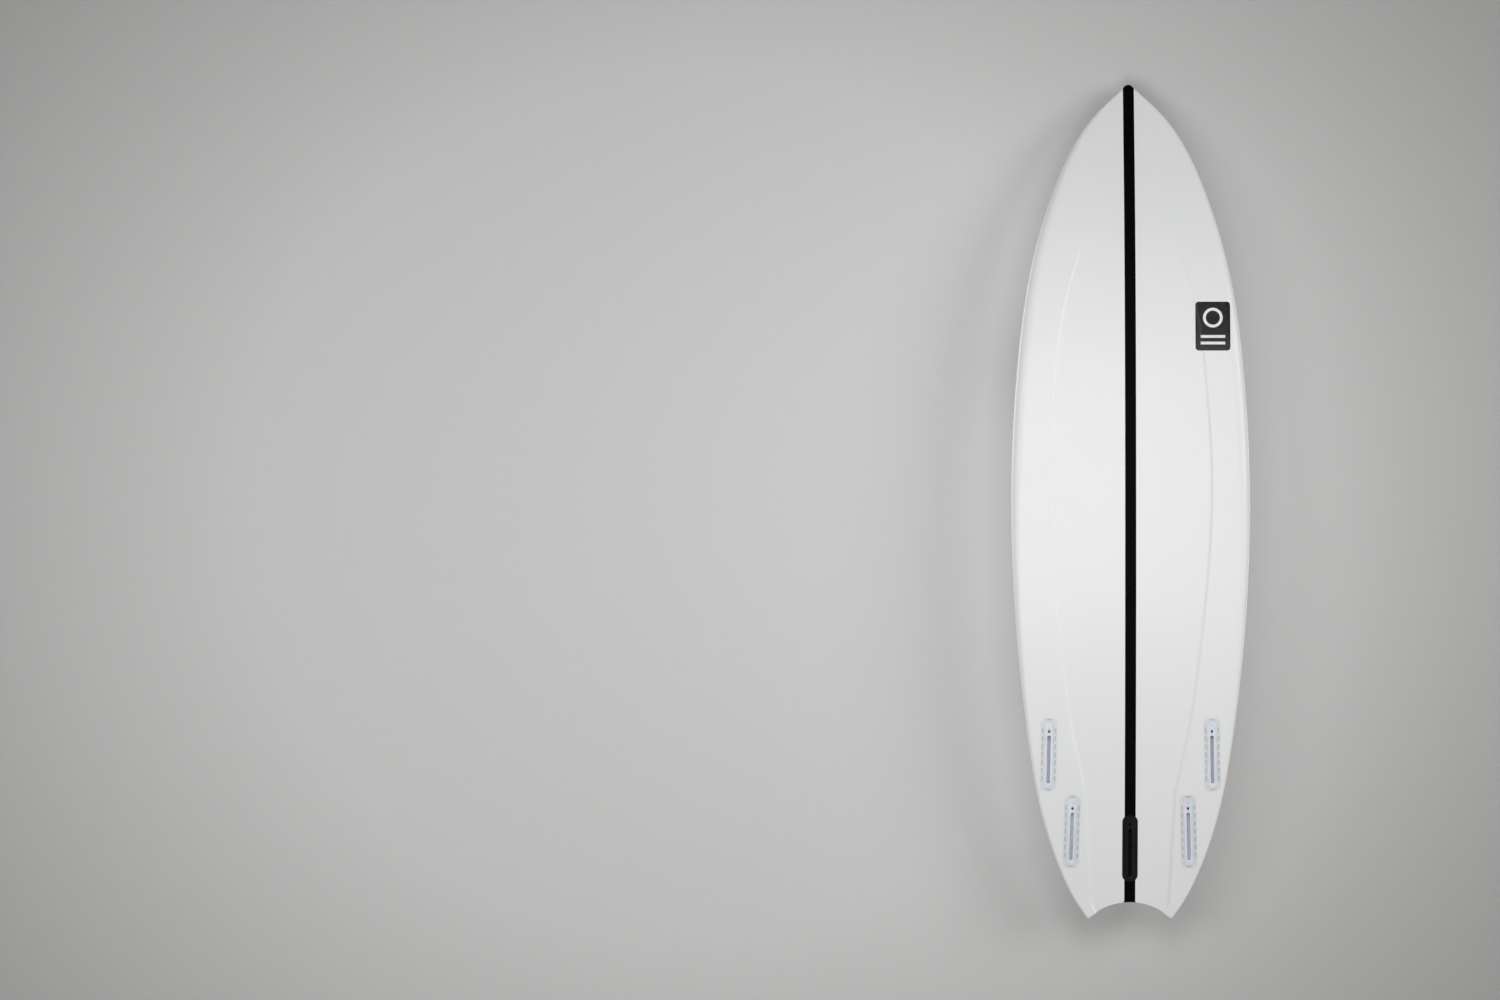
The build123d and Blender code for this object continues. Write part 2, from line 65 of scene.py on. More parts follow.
# The board's shape. Shares are of its length, half its width and its thickness.
LOW, HIGH = cad_bounds
LENGTH = HIGH.z - LOW.z
HALF_WIDTH = 254 * MM
THICKNESS = 63.5 * MM
OUTLINE = (
    (0.0, 0.354), (0.0175, 0.440), (0.06, 0.590), (0.12, 0.733), (0.21, 0.855), (0.33, 0.950),
    (0.51, 1.000), (0.66, 0.946), (0.78, 0.826), (0.865, 0.656), (0.925, 0.473), (0.965, 0.277),
    (1.0, 0.016),
)
FOIL = ((0.0, 0.27), (0.17, 0.66), (0.48, 1.0), (0.83, 0.55), (1.0, 0.14))
ROCKER_MM = ((0.0, 50.0), (0.17, 19.0), (0.5, 0.0), (0.83, 48.0), (1.0, 118.0))
RAIL_LINE = ((0.0, 0.22), (0.5, 0.30), (1.0, 0.42))
TUCK_MM = ((0.0, 5.0), (0.2, 8.0), (0.5, 22.0), (0.85, 20.0), (1.0, 6.0))
PANEL_CORNER = (0.153, 0.389)
PANEL_TAIL_HALF = 0.333
PANEL_OUTLINE = (
    PANEL_CORNER, (0.218, 0.489), (0.298, 0.576), (0.375, 0.636), (0.51, 0.695),
    (0.64, 0.648), (0.736, 0.553), (0.817, 0.368), (0.84, 0.300),
)
PANEL_DEPTH_MM = ((0.0, 3.0), (0.3, 3.0), (0.6, 3.0), (0.73, 1.8), (0.82, 0.0), (0.84, -0.5))
PANEL_WALL_RUN = 2.3
RAIL_FULLNESS = 0.58
DECK_RAIL_FULLNESS = 0.72
DECK_CROWN_FULLNESS = 0.50
NOSE_RADIUS = 13 * MM
NOSE_TURN_SHARE = math.sin(math.radians(51))
TAIL_DECK_APEX = 70 * MM
TAIL_DECK_HALF_CHORD = 87 * MM
TAIL_BOTTOM_APEX = 30 * MM
TAIL_BOTTOM_HALF_CHORD = 88.5 * MM
STRINGER_HALF = 11.75 * MM
PINLINE_OUTER = 8 * MM
PINLINE_INNER = 11 * MM
LIFT = 0.15 * MM


def fair_curve(points, scale=1.0):
    """Natural cubic spline through points, as a function of an array."""
    xs, ys = np.array(points, float).T
    count = len(xs)
    gaps = np.diff(xs)
    matrix = np.eye(count)
    turn = np.zeros(count)
    for i in range(1, count - 1):
        matrix[i, i - 1:i + 2] = gaps[i - 1], 2 * (gaps[i - 1] + gaps[i]), gaps[i]
        turn[i] = 6 * ((ys[i + 1] - ys[i]) / gaps[i] - (ys[i] - ys[i - 1]) / gaps[i - 1])
    bend = np.linalg.solve(matrix, turn)

    def value(x):
        i = np.clip(np.searchsorted(xs, x, side="right") - 1, 0, count - 2)
        a = (xs[i + 1] - x) / gaps[i]
        b = 1 - a
        cubic = (a**3 - a) * bend[i] + (b**3 - b) * bend[i + 1]
        return scale * (a * ys[i] + b * ys[i + 1] + cubic * gaps[i] ** 2 / 6)

    return value


outline_at = fair_curve(OUTLINE, HALF_WIDTH)
foil_at = fair_curve(FOIL, THICKNESS)
rocker_at = fair_curve(ROCKER_MM, MM)
rail_share_at = fair_curve(RAIL_LINE)
tuck_at = fair_curve(TUCK_MM, MM)
panel_front_at = fair_curve(PANEL_OUTLINE, HALF_WIDTH)
panel_drop_at = fair_curve(PANEL_DEPTH_MM, MM)


def panel_half_at(share):
    """Half width of the recessed panel: straight sides near the tail, then a fair curve."""
    run = share / PANEL_CORNER[0]
    straight = PANEL_TAIL_HALF + run * (PANEL_CORNER[1] - PANEL_TAIL_HALF)
    return np.where(run < 1, straight * HALF_WIDTH, panel_front_at(np.maximum(share, PANEL_CORNER[0])))


def half_width(s):
    """Half width at stations s, with the nose rounded in plan."""
    flank = outline_at(s / LENGTH)
    rise = np.clip(s - (LENGTH - NOSE_RADIUS), 0, NOSE_RADIUS)
    rounded = np.sqrt(NOSE_RADIUS**2 - rise**2) + 1e-6
    return np.where(rise > NOSE_RADIUS * NOSE_TURN_SHARE, np.minimum(flank, rounded), flank)


def inset_half_width(s, inset):
    """Half width of a line that lies inset from the outline, measured square to it."""
    slope = (outline_at((s + MM) / LENGTH) - outline_at((s - MM) / LENGTH)) / (2 * MM)
    return outline_at(s / LENGTH) - inset * np.hypot(1, slope)


def bottom_y(s):
    return rocker_at(0.5) - rocker_at(s / LENGTH)


def deck_y(s):
    return bottom_y(s) - foil_at(s / LENGTH)


def rail_y(s):
    return bottom_y(s) - rail_share_at(s / LENGTH) * foil_at(s / LENGTH)


def bezier(t, a, b, c, d):
    """Cubic curve from a to d, pulled by b and c."""
    u = 1 - t
    return a * u**3 + 3 * b * t * u**2 + 3 * c * t**2 * u + d * t**3


def solve_falling(function, target, low=0.0, high=1.0):
    """Parameter where a falling function reaches the target, found by halving."""
    low = np.full(np.shape(target), low, float)
    high = np.full(np.shape(target), high, float)
    for _ in range(30):
        middle = (low + high) / 2
        above = function(middle) > target
        low = np.where(above, middle, low)
        high = np.where(above, high, middle)
    return (low + high) / 2


def deck_parameter(x, s):
    """Where on the deck's curve a distance from the stringer line is reached."""
    half = half_width(s)
    return solve_falling(
        lambda t: bezier(t, half, half, DECK_CROWN_FULLNESS * half, 0), np.abs(x) + 0 * s
    )


def deck_curve_y(t, s):
    rail = rail_y(s)
    top = deck_y(s)
    return bezier(t, rail, rail + DECK_RAIL_FULLNESS * (top - rail), top, top)


def deck_surface(x, s):
    return deck_curve_y(deck_parameter(x, s), s)


def flat_half(s):
    """Half width of the bottom's flats, up to where the rail turns up."""
    half = half_width(s)
    return half - np.minimum(tuck_at(s / LENGTH), 0.45 * half)


def panel_fall(x, s):
    """How deep the recessed panel lies, with its walls softly rounded."""
    drop = np.maximum(panel_drop_at(s / LENGTH), 0)
    half = np.minimum(panel_half_at(s / LENGTH), 0.8 * flat_half(s))
    into = (half - np.abs(x)) / (PANEL_WALL_RUN * np.maximum(drop, 0.3 * MM))
    into = np.clip(into, 0, 1)
    return drop * (0.4 * into + 0.6 * into**2 * (3 - 2 * into))


def bottom_surface(x, s):
    """Height of the bottom between the flats' edges."""
    return bottom_y(s) - panel_fall(x, s)


def tail_cut(x, y):
    """Station of the tail's end face at a place across and through the board."""
    low_y = bottom_y(TAIL_BOTTOM_APEX)
    high_y = deck_y(TAIL_DECK_APEX)
    share = (y - low_y) / (high_y - low_y)
    apex = TAIL_BOTTOM_APEX + share * (TAIL_DECK_APEX - TAIL_BOTTOM_APEX)
    low_fall = TAIL_BOTTOM_APEX / TAIL_BOTTOM_HALF_CHORD**2
    high_fall = TAIL_DECK_APEX / TAIL_DECK_HALF_CHORD**2
    return np.maximum(apex - (low_fall + share * (high_fall - low_fall)) * x**2, 0)


def first_stations(place, count, back=0.0):
    """Station at which each of count lines, given by place(stations), leaves the end face."""
    low = np.zeros(count)
    high = np.full(count, 110 * MM)
    for _ in range(34):
        middle = (low + high) / 2
        x, y = place(middle)
        outside = middle < tail_cut(x, y) + back
        low = np.where(outside, middle, low)
        high = np.where(outside, high, middle)
    return high


def eased_rows(count, tail_ease=0.35):
    """Shares from 0 to 1 that lie closer together at both ends."""
    v = np.linspace(0, 1, count)
    return (1 - tail_ease) * v + tail_ease * v**2 * (3 - 2 * v)


def height(s):
    """Height in the frame of stations counted from the tail."""
    return s + LOW.z


# Mesh building

SHARP_ANGLE = math.radians(35)


class Sheets:
    """Collects grids of points as one mesh."""

    def __init__(self):
        self.points = []
        self.faces = []

    def add_grid(self, x, y, z, flip=False, close=False):
        """Add a grid of points, joined row to row, and perhaps round each row."""
        rows, columns = x.shape
        start = len(self.points)
        self.points += np.stack([x, y, z], -1).reshape(-1, 3).tolist()
        last = columns if close else columns - 1
        for i in range(rows - 1):
            for j in range(last):
                k = (j + 1) % columns
                face = (
                    start + i * columns + j,
                    start + i * columns + k,
                    start + (i + 1) * columns + k,
                    start + (i + 1) * columns + j,
                )
                self.faces.append(face[::-1] if flip else face)
        return start

    def add_fan(self, ring, flip=False):
        """Close a ring of points with one flat face."""
        start = len(self.points)
        self.points += np.asarray(ring).tolist()
        face = tuple(range(start, start + len(ring)))
        self.faces.append(face[::-1] if flip else face)

    def build(self, name, weld=0.02 * MM):
        """Make the mesh's object, with near points welded and sharp edges marked."""
        mesh = bpy.data.meshes.new(name)
        mesh.from_pydata(self.points, [], self.faces)
        made = bmesh.new()
        made.from_mesh(mesh)
        bmesh.ops.remove_doubles(made, verts=made.verts, dist=weld)
        bmesh.ops.dissolve_degenerate(made, edges=made.edges, dist=weld / 2)
        made.to_mesh(mesh)
        made.free()
        piece = bpy.data.objects.new(name, mesh)
        bpy.context.scene.collection.objects.link(piece)
        mesh.shade_smooth()
        mesh.set_sharp_from_angle(angle=SHARP_ANGLE)
        return piece


def finish_piece(piece, nodes, body, material):
    """Give a piece its material, hang it on its body and hide the CAD nodes that it replaces."""
    piece.data.materials.clear()
    piece.data.materials.append(material)
    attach(piece, body)
    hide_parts(*nodes)
    return piece


# Skins

BOTTOM_COLUMNS = 26
WALL_COLUMNS = 7
FLAT_COLUMNS = 12
TURN_COLUMNS = 9
SIDE_COLUMNS = 8
END_FACE_COLUMNS = 34
SKIN_ROWS = 260
DECK_COLUMNS = 57
DECK_ROWS = 240
PINLINE_ROWS = 320
TAIL_ARC_COLUMNS = 90
TAIL_ARC_WIDTH = 3 * MM
PINLINE_COLUMNS = 6
TAIL_LIP = (0.2 * MM, 1.6 * MM)
TAIL_LIP_LIFT = 0.12 * MM
SKIN_LAP = 0.3 * MM
DECK_LAP = 0.2 * MM
DECK_FROM_TAIL_EDGE = 2.8 * MM
LAMINATE_END = 0.2 * MM
STRINGER_COLUMNS = 17
NOSE_END = 0.02 * MM
NOSE_WRAP = 24 * MM
NOSE_FLANK = 9 * MM
STRINGER_SUNK = 1.5 * MM


def panel_drop(s):
    """Depth of the recessed panel, never so small that its walls vanish."""
    return np.maximum(panel_drop_at(s / LENGTH), 0.6 * MM)


def panel_mouth(s):
    """Half width of the recessed panel, kept within the flats."""
    return np.minimum(panel_half_at(s / LENGTH), 0.8 * flat_half(s))


def skin_profile(s):
    """Points round half a cross section, one column each, from the stringer to the pinline."""
    start = 0
    xs = []
    ys = []

    def part(count):
        nonlocal start
        piece = s[..., start:start + count]
        start += count
        return piece, np.linspace(0, 1, count + 1)[:-1]

    at, share = part(BOTTOM_COLUMNS)
    floor = np.maximum(panel_mouth(at) - PANEL_WALL_RUN * panel_drop(at), STRINGER_HALF)
    x = STRINGER_HALF + share * (floor - STRINGER_HALF)
    xs.append(x)
    ys.append(bottom_surface(x, at))
    at, share = part(WALL_COLUMNS)
    x = panel_mouth(at) - PANEL_WALL_RUN * panel_drop(at) * (1 - share)
    xs.append(x)
    ys.append(bottom_surface(x, at))
    at, share = part(FLAT_COLUMNS)
    mouth = panel_mouth(at)
    x = mouth + share * (flat_half(at) - mouth)
    xs.append(x)
    ys.append(bottom_surface(x, at))
    at, share = part(TURN_COLUMNS)
    half = half_width(at)
    flat = flat_half(at)
    reach = flat + RAIL_FULLNESS * (half - flat)
    low = bottom_y(at)
    rail = rail_y(at)
    xs.append(bezier(share, flat, reach, half, half))
    ys.append(bezier(share, low, low, rail + RAIL_FULLNESS * (low - rail), rail))
    at = s[..., start:]
    share = np.linspace(0, 1, at.shape[-1])
    edge = np.maximum(inset_half_width(at, PINLINE_OUTER - SKIN_LAP), 0)
    t = share * deck_parameter(edge, at)
    half = half_width(at)
    xs.append(bezier(t, half, half, DECK_CROWN_FULLNESS * half, 0))
    ys.append(deck_curve_y(t, at))
    x = np.maximum(np.concatenate(xs, -1), STRINGER_HALF)
    return x, np.concatenate(ys, -1)


SKIN_COLUMNS = BOTTOM_COLUMNS + WALL_COLUMNS + FLAT_COLUMNS + TURN_COLUMNS + SIDE_COLUMNS


def laminate(side, node, holes, material):
    """Rail and bottom skin of one side, with its part of the tail's end face."""
    first = first_stations(skin_profile, SKIN_COLUMNS)
    s = first + (LENGTH - LAMINATE_END - first) * eased_rows(SKIN_ROWS)[:, None]
    x, y = skin_profile(s)
    sheets = Sheets()
    sheets.add_grid(side * x, y, height(s), flip=side == LEFT)
    end_face(sheets, side, STRINGER_HALF, half_width(np.array(0.0)), END_FACE_COLUMNS)
    piece = sheets.build(node + "_look")
    cut_holes(piece, holes)
    return finish_piece(piece, [node], "board", material)


def end_face(sheets, side, start_x, end_x, columns):
    """The tail's slanted end face between two distances from the stringer line."""
    x = np.linspace(start_x, end_x, columns)
    bottom_s = first_stations(lambda s: (x, rail_or_bottom(x, s)), columns)
    deck_s = first_stations(lambda s: (x, deck_surface(np.minimum(x, half_width(s)), s)), columns)
    low = rail_or_bottom(x, bottom_s)
    high = deck_surface(np.minimum(x, half_width(deck_s)), deck_s)
    share = np.linspace(0, 1, 9)[:, None]
    y = low + share * (high - low)
    s = tail_cut(x[None, :] + 0 * y, y)
    sheets.add_grid(side * (x[None, :] + 0 * y), y, height(s), flip=side == RIGHT)


def rail_or_bottom(x, s):
    """Height of the bottom, or of the rail's turn where x is beyond the flat."""
    half = half_width(s)
    flat = flat_half(s)
    reach = flat + RAIL_FULLNESS * (half - flat)
    low = bottom_y(s)
    rail = rail_y(s)
    t = 1 - solve_falling(
        lambda u: bezier(1 - u, flat, reach, half, half), np.minimum(np.abs(x), half) + 0 * s
    )
    turn = bezier(t, low, low, rail + RAIL_FULLNESS * (low - rail), rail)
    return np.where(np.abs(x) > flat, turn, bottom_surface(x, s))


def cut_holes(piece, holes):
    """Take out the faces inside any of the holes, after dividing those that cross a rim."""
    made = bmesh.new()
    made.from_mesh(piece.data)
    for divide in (True, True, True, False):
        made.verts.index_update()
        points = np.array([vertex.co for vertex in made.verts])
        doomed = set()
        crossing = set()
        for covered in holes:
            inside = covered(points)
            for face in made.faces:
                count = sum(inside[vertex.index] for vertex in face.verts)
                if count == len(face.verts):
                    doomed.add(face)
                elif count:
                    crossing.add(face)
        if divide:
            edges = {edge for face in crossing - doomed for edge in face.edges}
            bmesh.ops.subdivide_edges(made, edges=list(edges), cuts=1, use_grid_fill=True)
        else:
            bmesh.ops.delete(made, geom=list(doomed), context="FACES")
    made.to_mesh(piece.data)
    made.free()


def nose_point(inset):
    """Station where a line inset from the outline reaches the stringer line."""
    low = 0.9 * LENGTH
    high = LENGTH
    for _ in range(40):
        middle = (low + high) / 2
        if inset_half_width(np.array(middle), inset) > 0:
            low = middle
        else:
            high = middle
    return low


def deck_skin(holes, material):
    """Domed deck inside the pinline."""
    u = np.sin(np.linspace(-1, 1, DECK_COLUMNS) * math.pi / 2)
    inset = PINLINE_INNER - DECK_LAP

    def place(s):
        x = u * np.maximum(inset_half_width(s, inset), 0)
        return x, deck_surface(x, s)

    first = first_stations(place, DECK_COLUMNS, back=DECK_FROM_TAIL_EDGE)
    s = first + (nose_point(inset) - first) * eased_rows(DECK_ROWS)[:, None]
    x, y = place(s)
    sheets = Sheets()
    sheets.add_grid(x, y, height(s), flip=True)
    piece = sheets.build("deck_skin_look")
    cut_holes(piece, holes)
    return finish_piece(piece, ["deck_skin"], "board", material)


def pinline(material):
    """Thin line round the deck: both sides and the tail's arc."""
    sheets = Sheets()
    share = np.linspace(0, 1, PINLINE_COLUMNS)
    inset = PINLINE_OUTER + share * (PINLINE_INNER - PINLINE_OUTER)
    bulge = LIFT * (0.25 + np.sin(share * math.pi))

    def place(s):
        x = np.maximum(inset_half_width(s, inset), 0)
        return x, deck_surface(x, s)

    first = first_stations(place, PINLINE_COLUMNS)
    last = np.array([nose_point(i) for i in inset])
    s = first + (last - first) * eased_rows(PINLINE_ROWS)[:, None]
    x, y = place(s)
    for side in (LEFT, RIGHT):
        sheets.add_grid(side * x, y - bulge, height(s), flip=side == RIGHT)
    reach = float(inset_half_width(np.array(4 * MM), PINLINE_OUTER))
    x = np.linspace(-reach, reach, TAIL_ARC_COLUMNS)
    across = np.linspace(0, TAIL_ARC_WIDTH, PINLINE_COLUMNS)[:, None]
    edge = first_stations(lambda s: (x, deck_surface(x, s)), len(x))
    fall = 2 * TAIL_DECK_APEX * x / TAIL_DECK_HALF_CHORD**2
    s = edge + across * np.hypot(1, fall)
    x = x + 0 * s
    y = deck_surface(x, s) - bulge[:, None]
    sheets.add_grid(x, y, height(s), flip=True)
    lip_x = np.stack([x[0], x[0]])
    lip_y = np.stack([y[0] + down for down in TAIL_LIP])
    lip_s = tail_cut(lip_x, lip_y) - TAIL_LIP_LIFT
    sheets.add_grid(lip_x, lip_y, height(lip_s))
    piece = sheets.build("deck_pinline_look", weld=0.005 * MM)
    return finish_piece(piece, ["deck_pinline"], "board", material)


def stringer(holes, material):
    """Black strip down the bottom, over the nose tip and on the tail's end face."""
    sheets = Sheets()
    u = np.linspace(-1, 1, STRINGER_COLUMNS)

    def bottom_place(s):
        x = u * np.minimum(STRINGER_HALF, half_width(s))
        return x, rail_or_bottom(x, s)

    first = first_stations(bottom_place, STRINGER_COLUMNS)
    rows = np.concatenate([eased_rows(240) * 0.985, np.linspace(0.986, 1, 40)])[:, None]
    s = first + (LENGTH - NOSE_END - first) * rows
    x, y = bottom_place(s)
    sheets.add_grid(x, y, height(s))
    start = nose_point(PINLINE_OUTER) - NOSE_WRAP
    s = np.linspace(start, LENGTH - NOSE_END, 90)[:, None] + 0 * u
    half = half_width(s)
    x = u * np.minimum(STRINGER_HALF, half)
    under_skin = np.abs(x) < inset_half_width(s, PINLINE_OUTER - SKIN_LAP)
    y = deck_surface(x, s) + np.where(under_skin, STRINGER_SUNK, 0)
    sheets.add_grid(x, y, height(s), flip=True)
    for side in (LEFT, RIGHT):
        end_face(sheets, side, 0, STRINGER_HALF, 8)
        tip_s = np.linspace(LENGTH - NOSE_FLANK, LENGTH - NOSE_END, 60)[:, None]
        edge = np.minimum(STRINGER_HALF, half_width(tip_s))
        low = rail_or_bottom(edge, tip_s)
        high = deck_surface(edge, tip_s)
        y = low + np.linspace(0, 1, 7) * (high - low)
        sheets.add_grid(side * edge + 0 * y, y, height(tip_s) + 0 * y, flip=side == LEFT)
    piece = sheets.build("stringer_look")
    cut_holes(piece, holes)
    return finish_piece(piece, ["stringer"], "board", material)


# Fin boxes, screws and leash plug

RIM_STEP = 6 * MM
CORNER_STEPS = 8


def rounded_outline(width, length, corner, step=RIM_STEP):
    """Points round a rectangle with round corners, across and along the board."""
    points = []
    side = length / 2 - corner
    across = width / 2 - corner
    runs = max(int(2 * side / step), 1)

    def round_corner(x, z, quarter):
        for k in range(CORNER_STEPS + 1):
            turn = math.pi / 2 * (quarter + k / CORNER_STEPS)
            points.append((x + corner * math.cos(turn), z + corner * math.sin(turn)))

    for i in range(runs):
        points.append((width / 2, -side + 2 * side * i / runs))
    round_corner(across, side, 0)
    round_corner(-across, side, 1)
    for i in range(1, runs):
        points.append((-width / 2, side - 2 * side * i / runs))
    round_corner(-across, -side, 2)
    round_corner(across, -side, 3)
    return [point for i, point in enumerate(points) if math.dist(point, points[i - 1]) > 1e-6]


def ring_stack(name, rings):
    """Closed mesh through rings of equal count, each a list of points."""
    sheets = Sheets()
    grid = np.array(rings, float)
    sheets.add_grid(grid[..., 0], grid[..., 1], grid[..., 2], close=True)
    sheets.add_fan(grid[0], flip=True)
    sheets.add_fan(grid[-1])
    return sheets.build(name, weld=0.001 * MM)


def prism(outline, low, high, middle=(0, 0)):
    """Closed prism of an outline between two heights of a box's own frame."""
    rings = []
    for y in (high, low):
        rings.append([(px + middle[0], y, pz + middle[1]) for px, pz in outline])
    return ring_stack("cutter", rings)


def combine(target, others, operation):
    """Apply one exact boolean of all the others to the target."""
    for other in others:
        step = target.modifiers.new("step", "BOOLEAN")
        step.operation = operation
        step.solver = "EXACT"
        step.object = other
        bpy.context.view_layer.update()
        graph = bpy.context.evaluated_depsgraph_get()
        made = bpy.data.meshes.new_from_object(target.evaluated_get(graph))
        target.modifiers.clear()
        target.data = made
        bpy.data.objects.remove(other)
    return target


def join(pieces):
    """Merge separate meshes into the first one."""
    made = bmesh.new()
    for piece in pieces:
        piece.data.transform(piece.matrix_basis)
        made.from_mesh(piece.data)
    made.to_mesh(pieces[0].data)
    made.free()
    pieces[0].matrix_basis = Matrix.Identity(4)
    for piece in pieces[1:]:
        bpy.data.objects.remove(piece)
    return pieces[0]


def at_bottom(x, s, toe_in, sunk):
    """Matrix of a place on the bottom: X across, Y outwards, Z towards the nose."""
    slope = float(bottom_y(s + MM) - bottom_y(s - MM)) / (2 * MM)
    lean = Matrix.Rotation(-math.atan(slope), 4, "X")
    turn = Matrix.Rotation(-toe_in if x > 0 else toe_in, 4, "Y")
    place = Matrix.Translation((x, float(bottom_y(s)) - sunk, float(height(s))))
    return place @ lean @ turn


FLANGE_CORNER = 14 * MM
HOLE_MARGIN = 0.6 * MM
FLANGE_THICKNESS = 4 * MM
TUB_SHORTER = 15 * MM
TUB_WIDTH = 19 * MM
TUB_CORNER = 9 * MM
TUB_GAP = 0.12 * MM
TUB_TOP = 0.09 * MM
ROOM_HALF_DEPTH = 6 * MM
KEY_WIDTH = 3.2 * MM
KEY_LENGTH = 11 * MM
KEY_CORNER = 1.55 * MM
KEY_DEPTH = 0.45 * MM
KEY_FROM_EDGE = 3.9 * MM
KEY_PITCH = 17 * MM
KEY_END_ROOM = 50 * MM
CUT_TOP = 5 * MM
SLOT_FLOOR = 2.5 * MM
BORE_RADIUS = 2.8 * MM
BORE_OUTER = -12 * MM
BORE_INNER = 13.8 * MM
PIN_HOLE_WIDTH = 2.4 * MM
PIN_HOLE_DEPTH = 2.5 * MM
EDGE_ROUND = 0.2 * MM
SLOT_LENGTH = 102 * MM
SLOT_WIDTH = 7.4 * MM
SLOT_FROM_FRONT = 38 * MM
PIN_HOLE_FROM_FRONT = 17 * MM
SCREW_FROM_FRONT = 28 * MM
SCREW_TILT = math.radians(45)
SCREW_START = 2.9 * MM
SCREW_LENGTH = 6.6 * MM
SCREW_RADIUS = 2.5 * MM
SCREW_FACETS = 48
SCREW_CHAMFER = 0.5 * MM
BOX_SIZES = {
    # length, width, depth, toe-in, how far the fittings lie nearer the front end
    "front": (157 * MM, 35 * MM, 17 * MM, math.radians(1.0), 0),
    "rear": (157 * MM, 35 * MM, 13 * MM, math.radians(1.6), 0),
    "centre": (142 * MM, 33 * MM, 16.5 * MM, 0, 9 * MM),
}


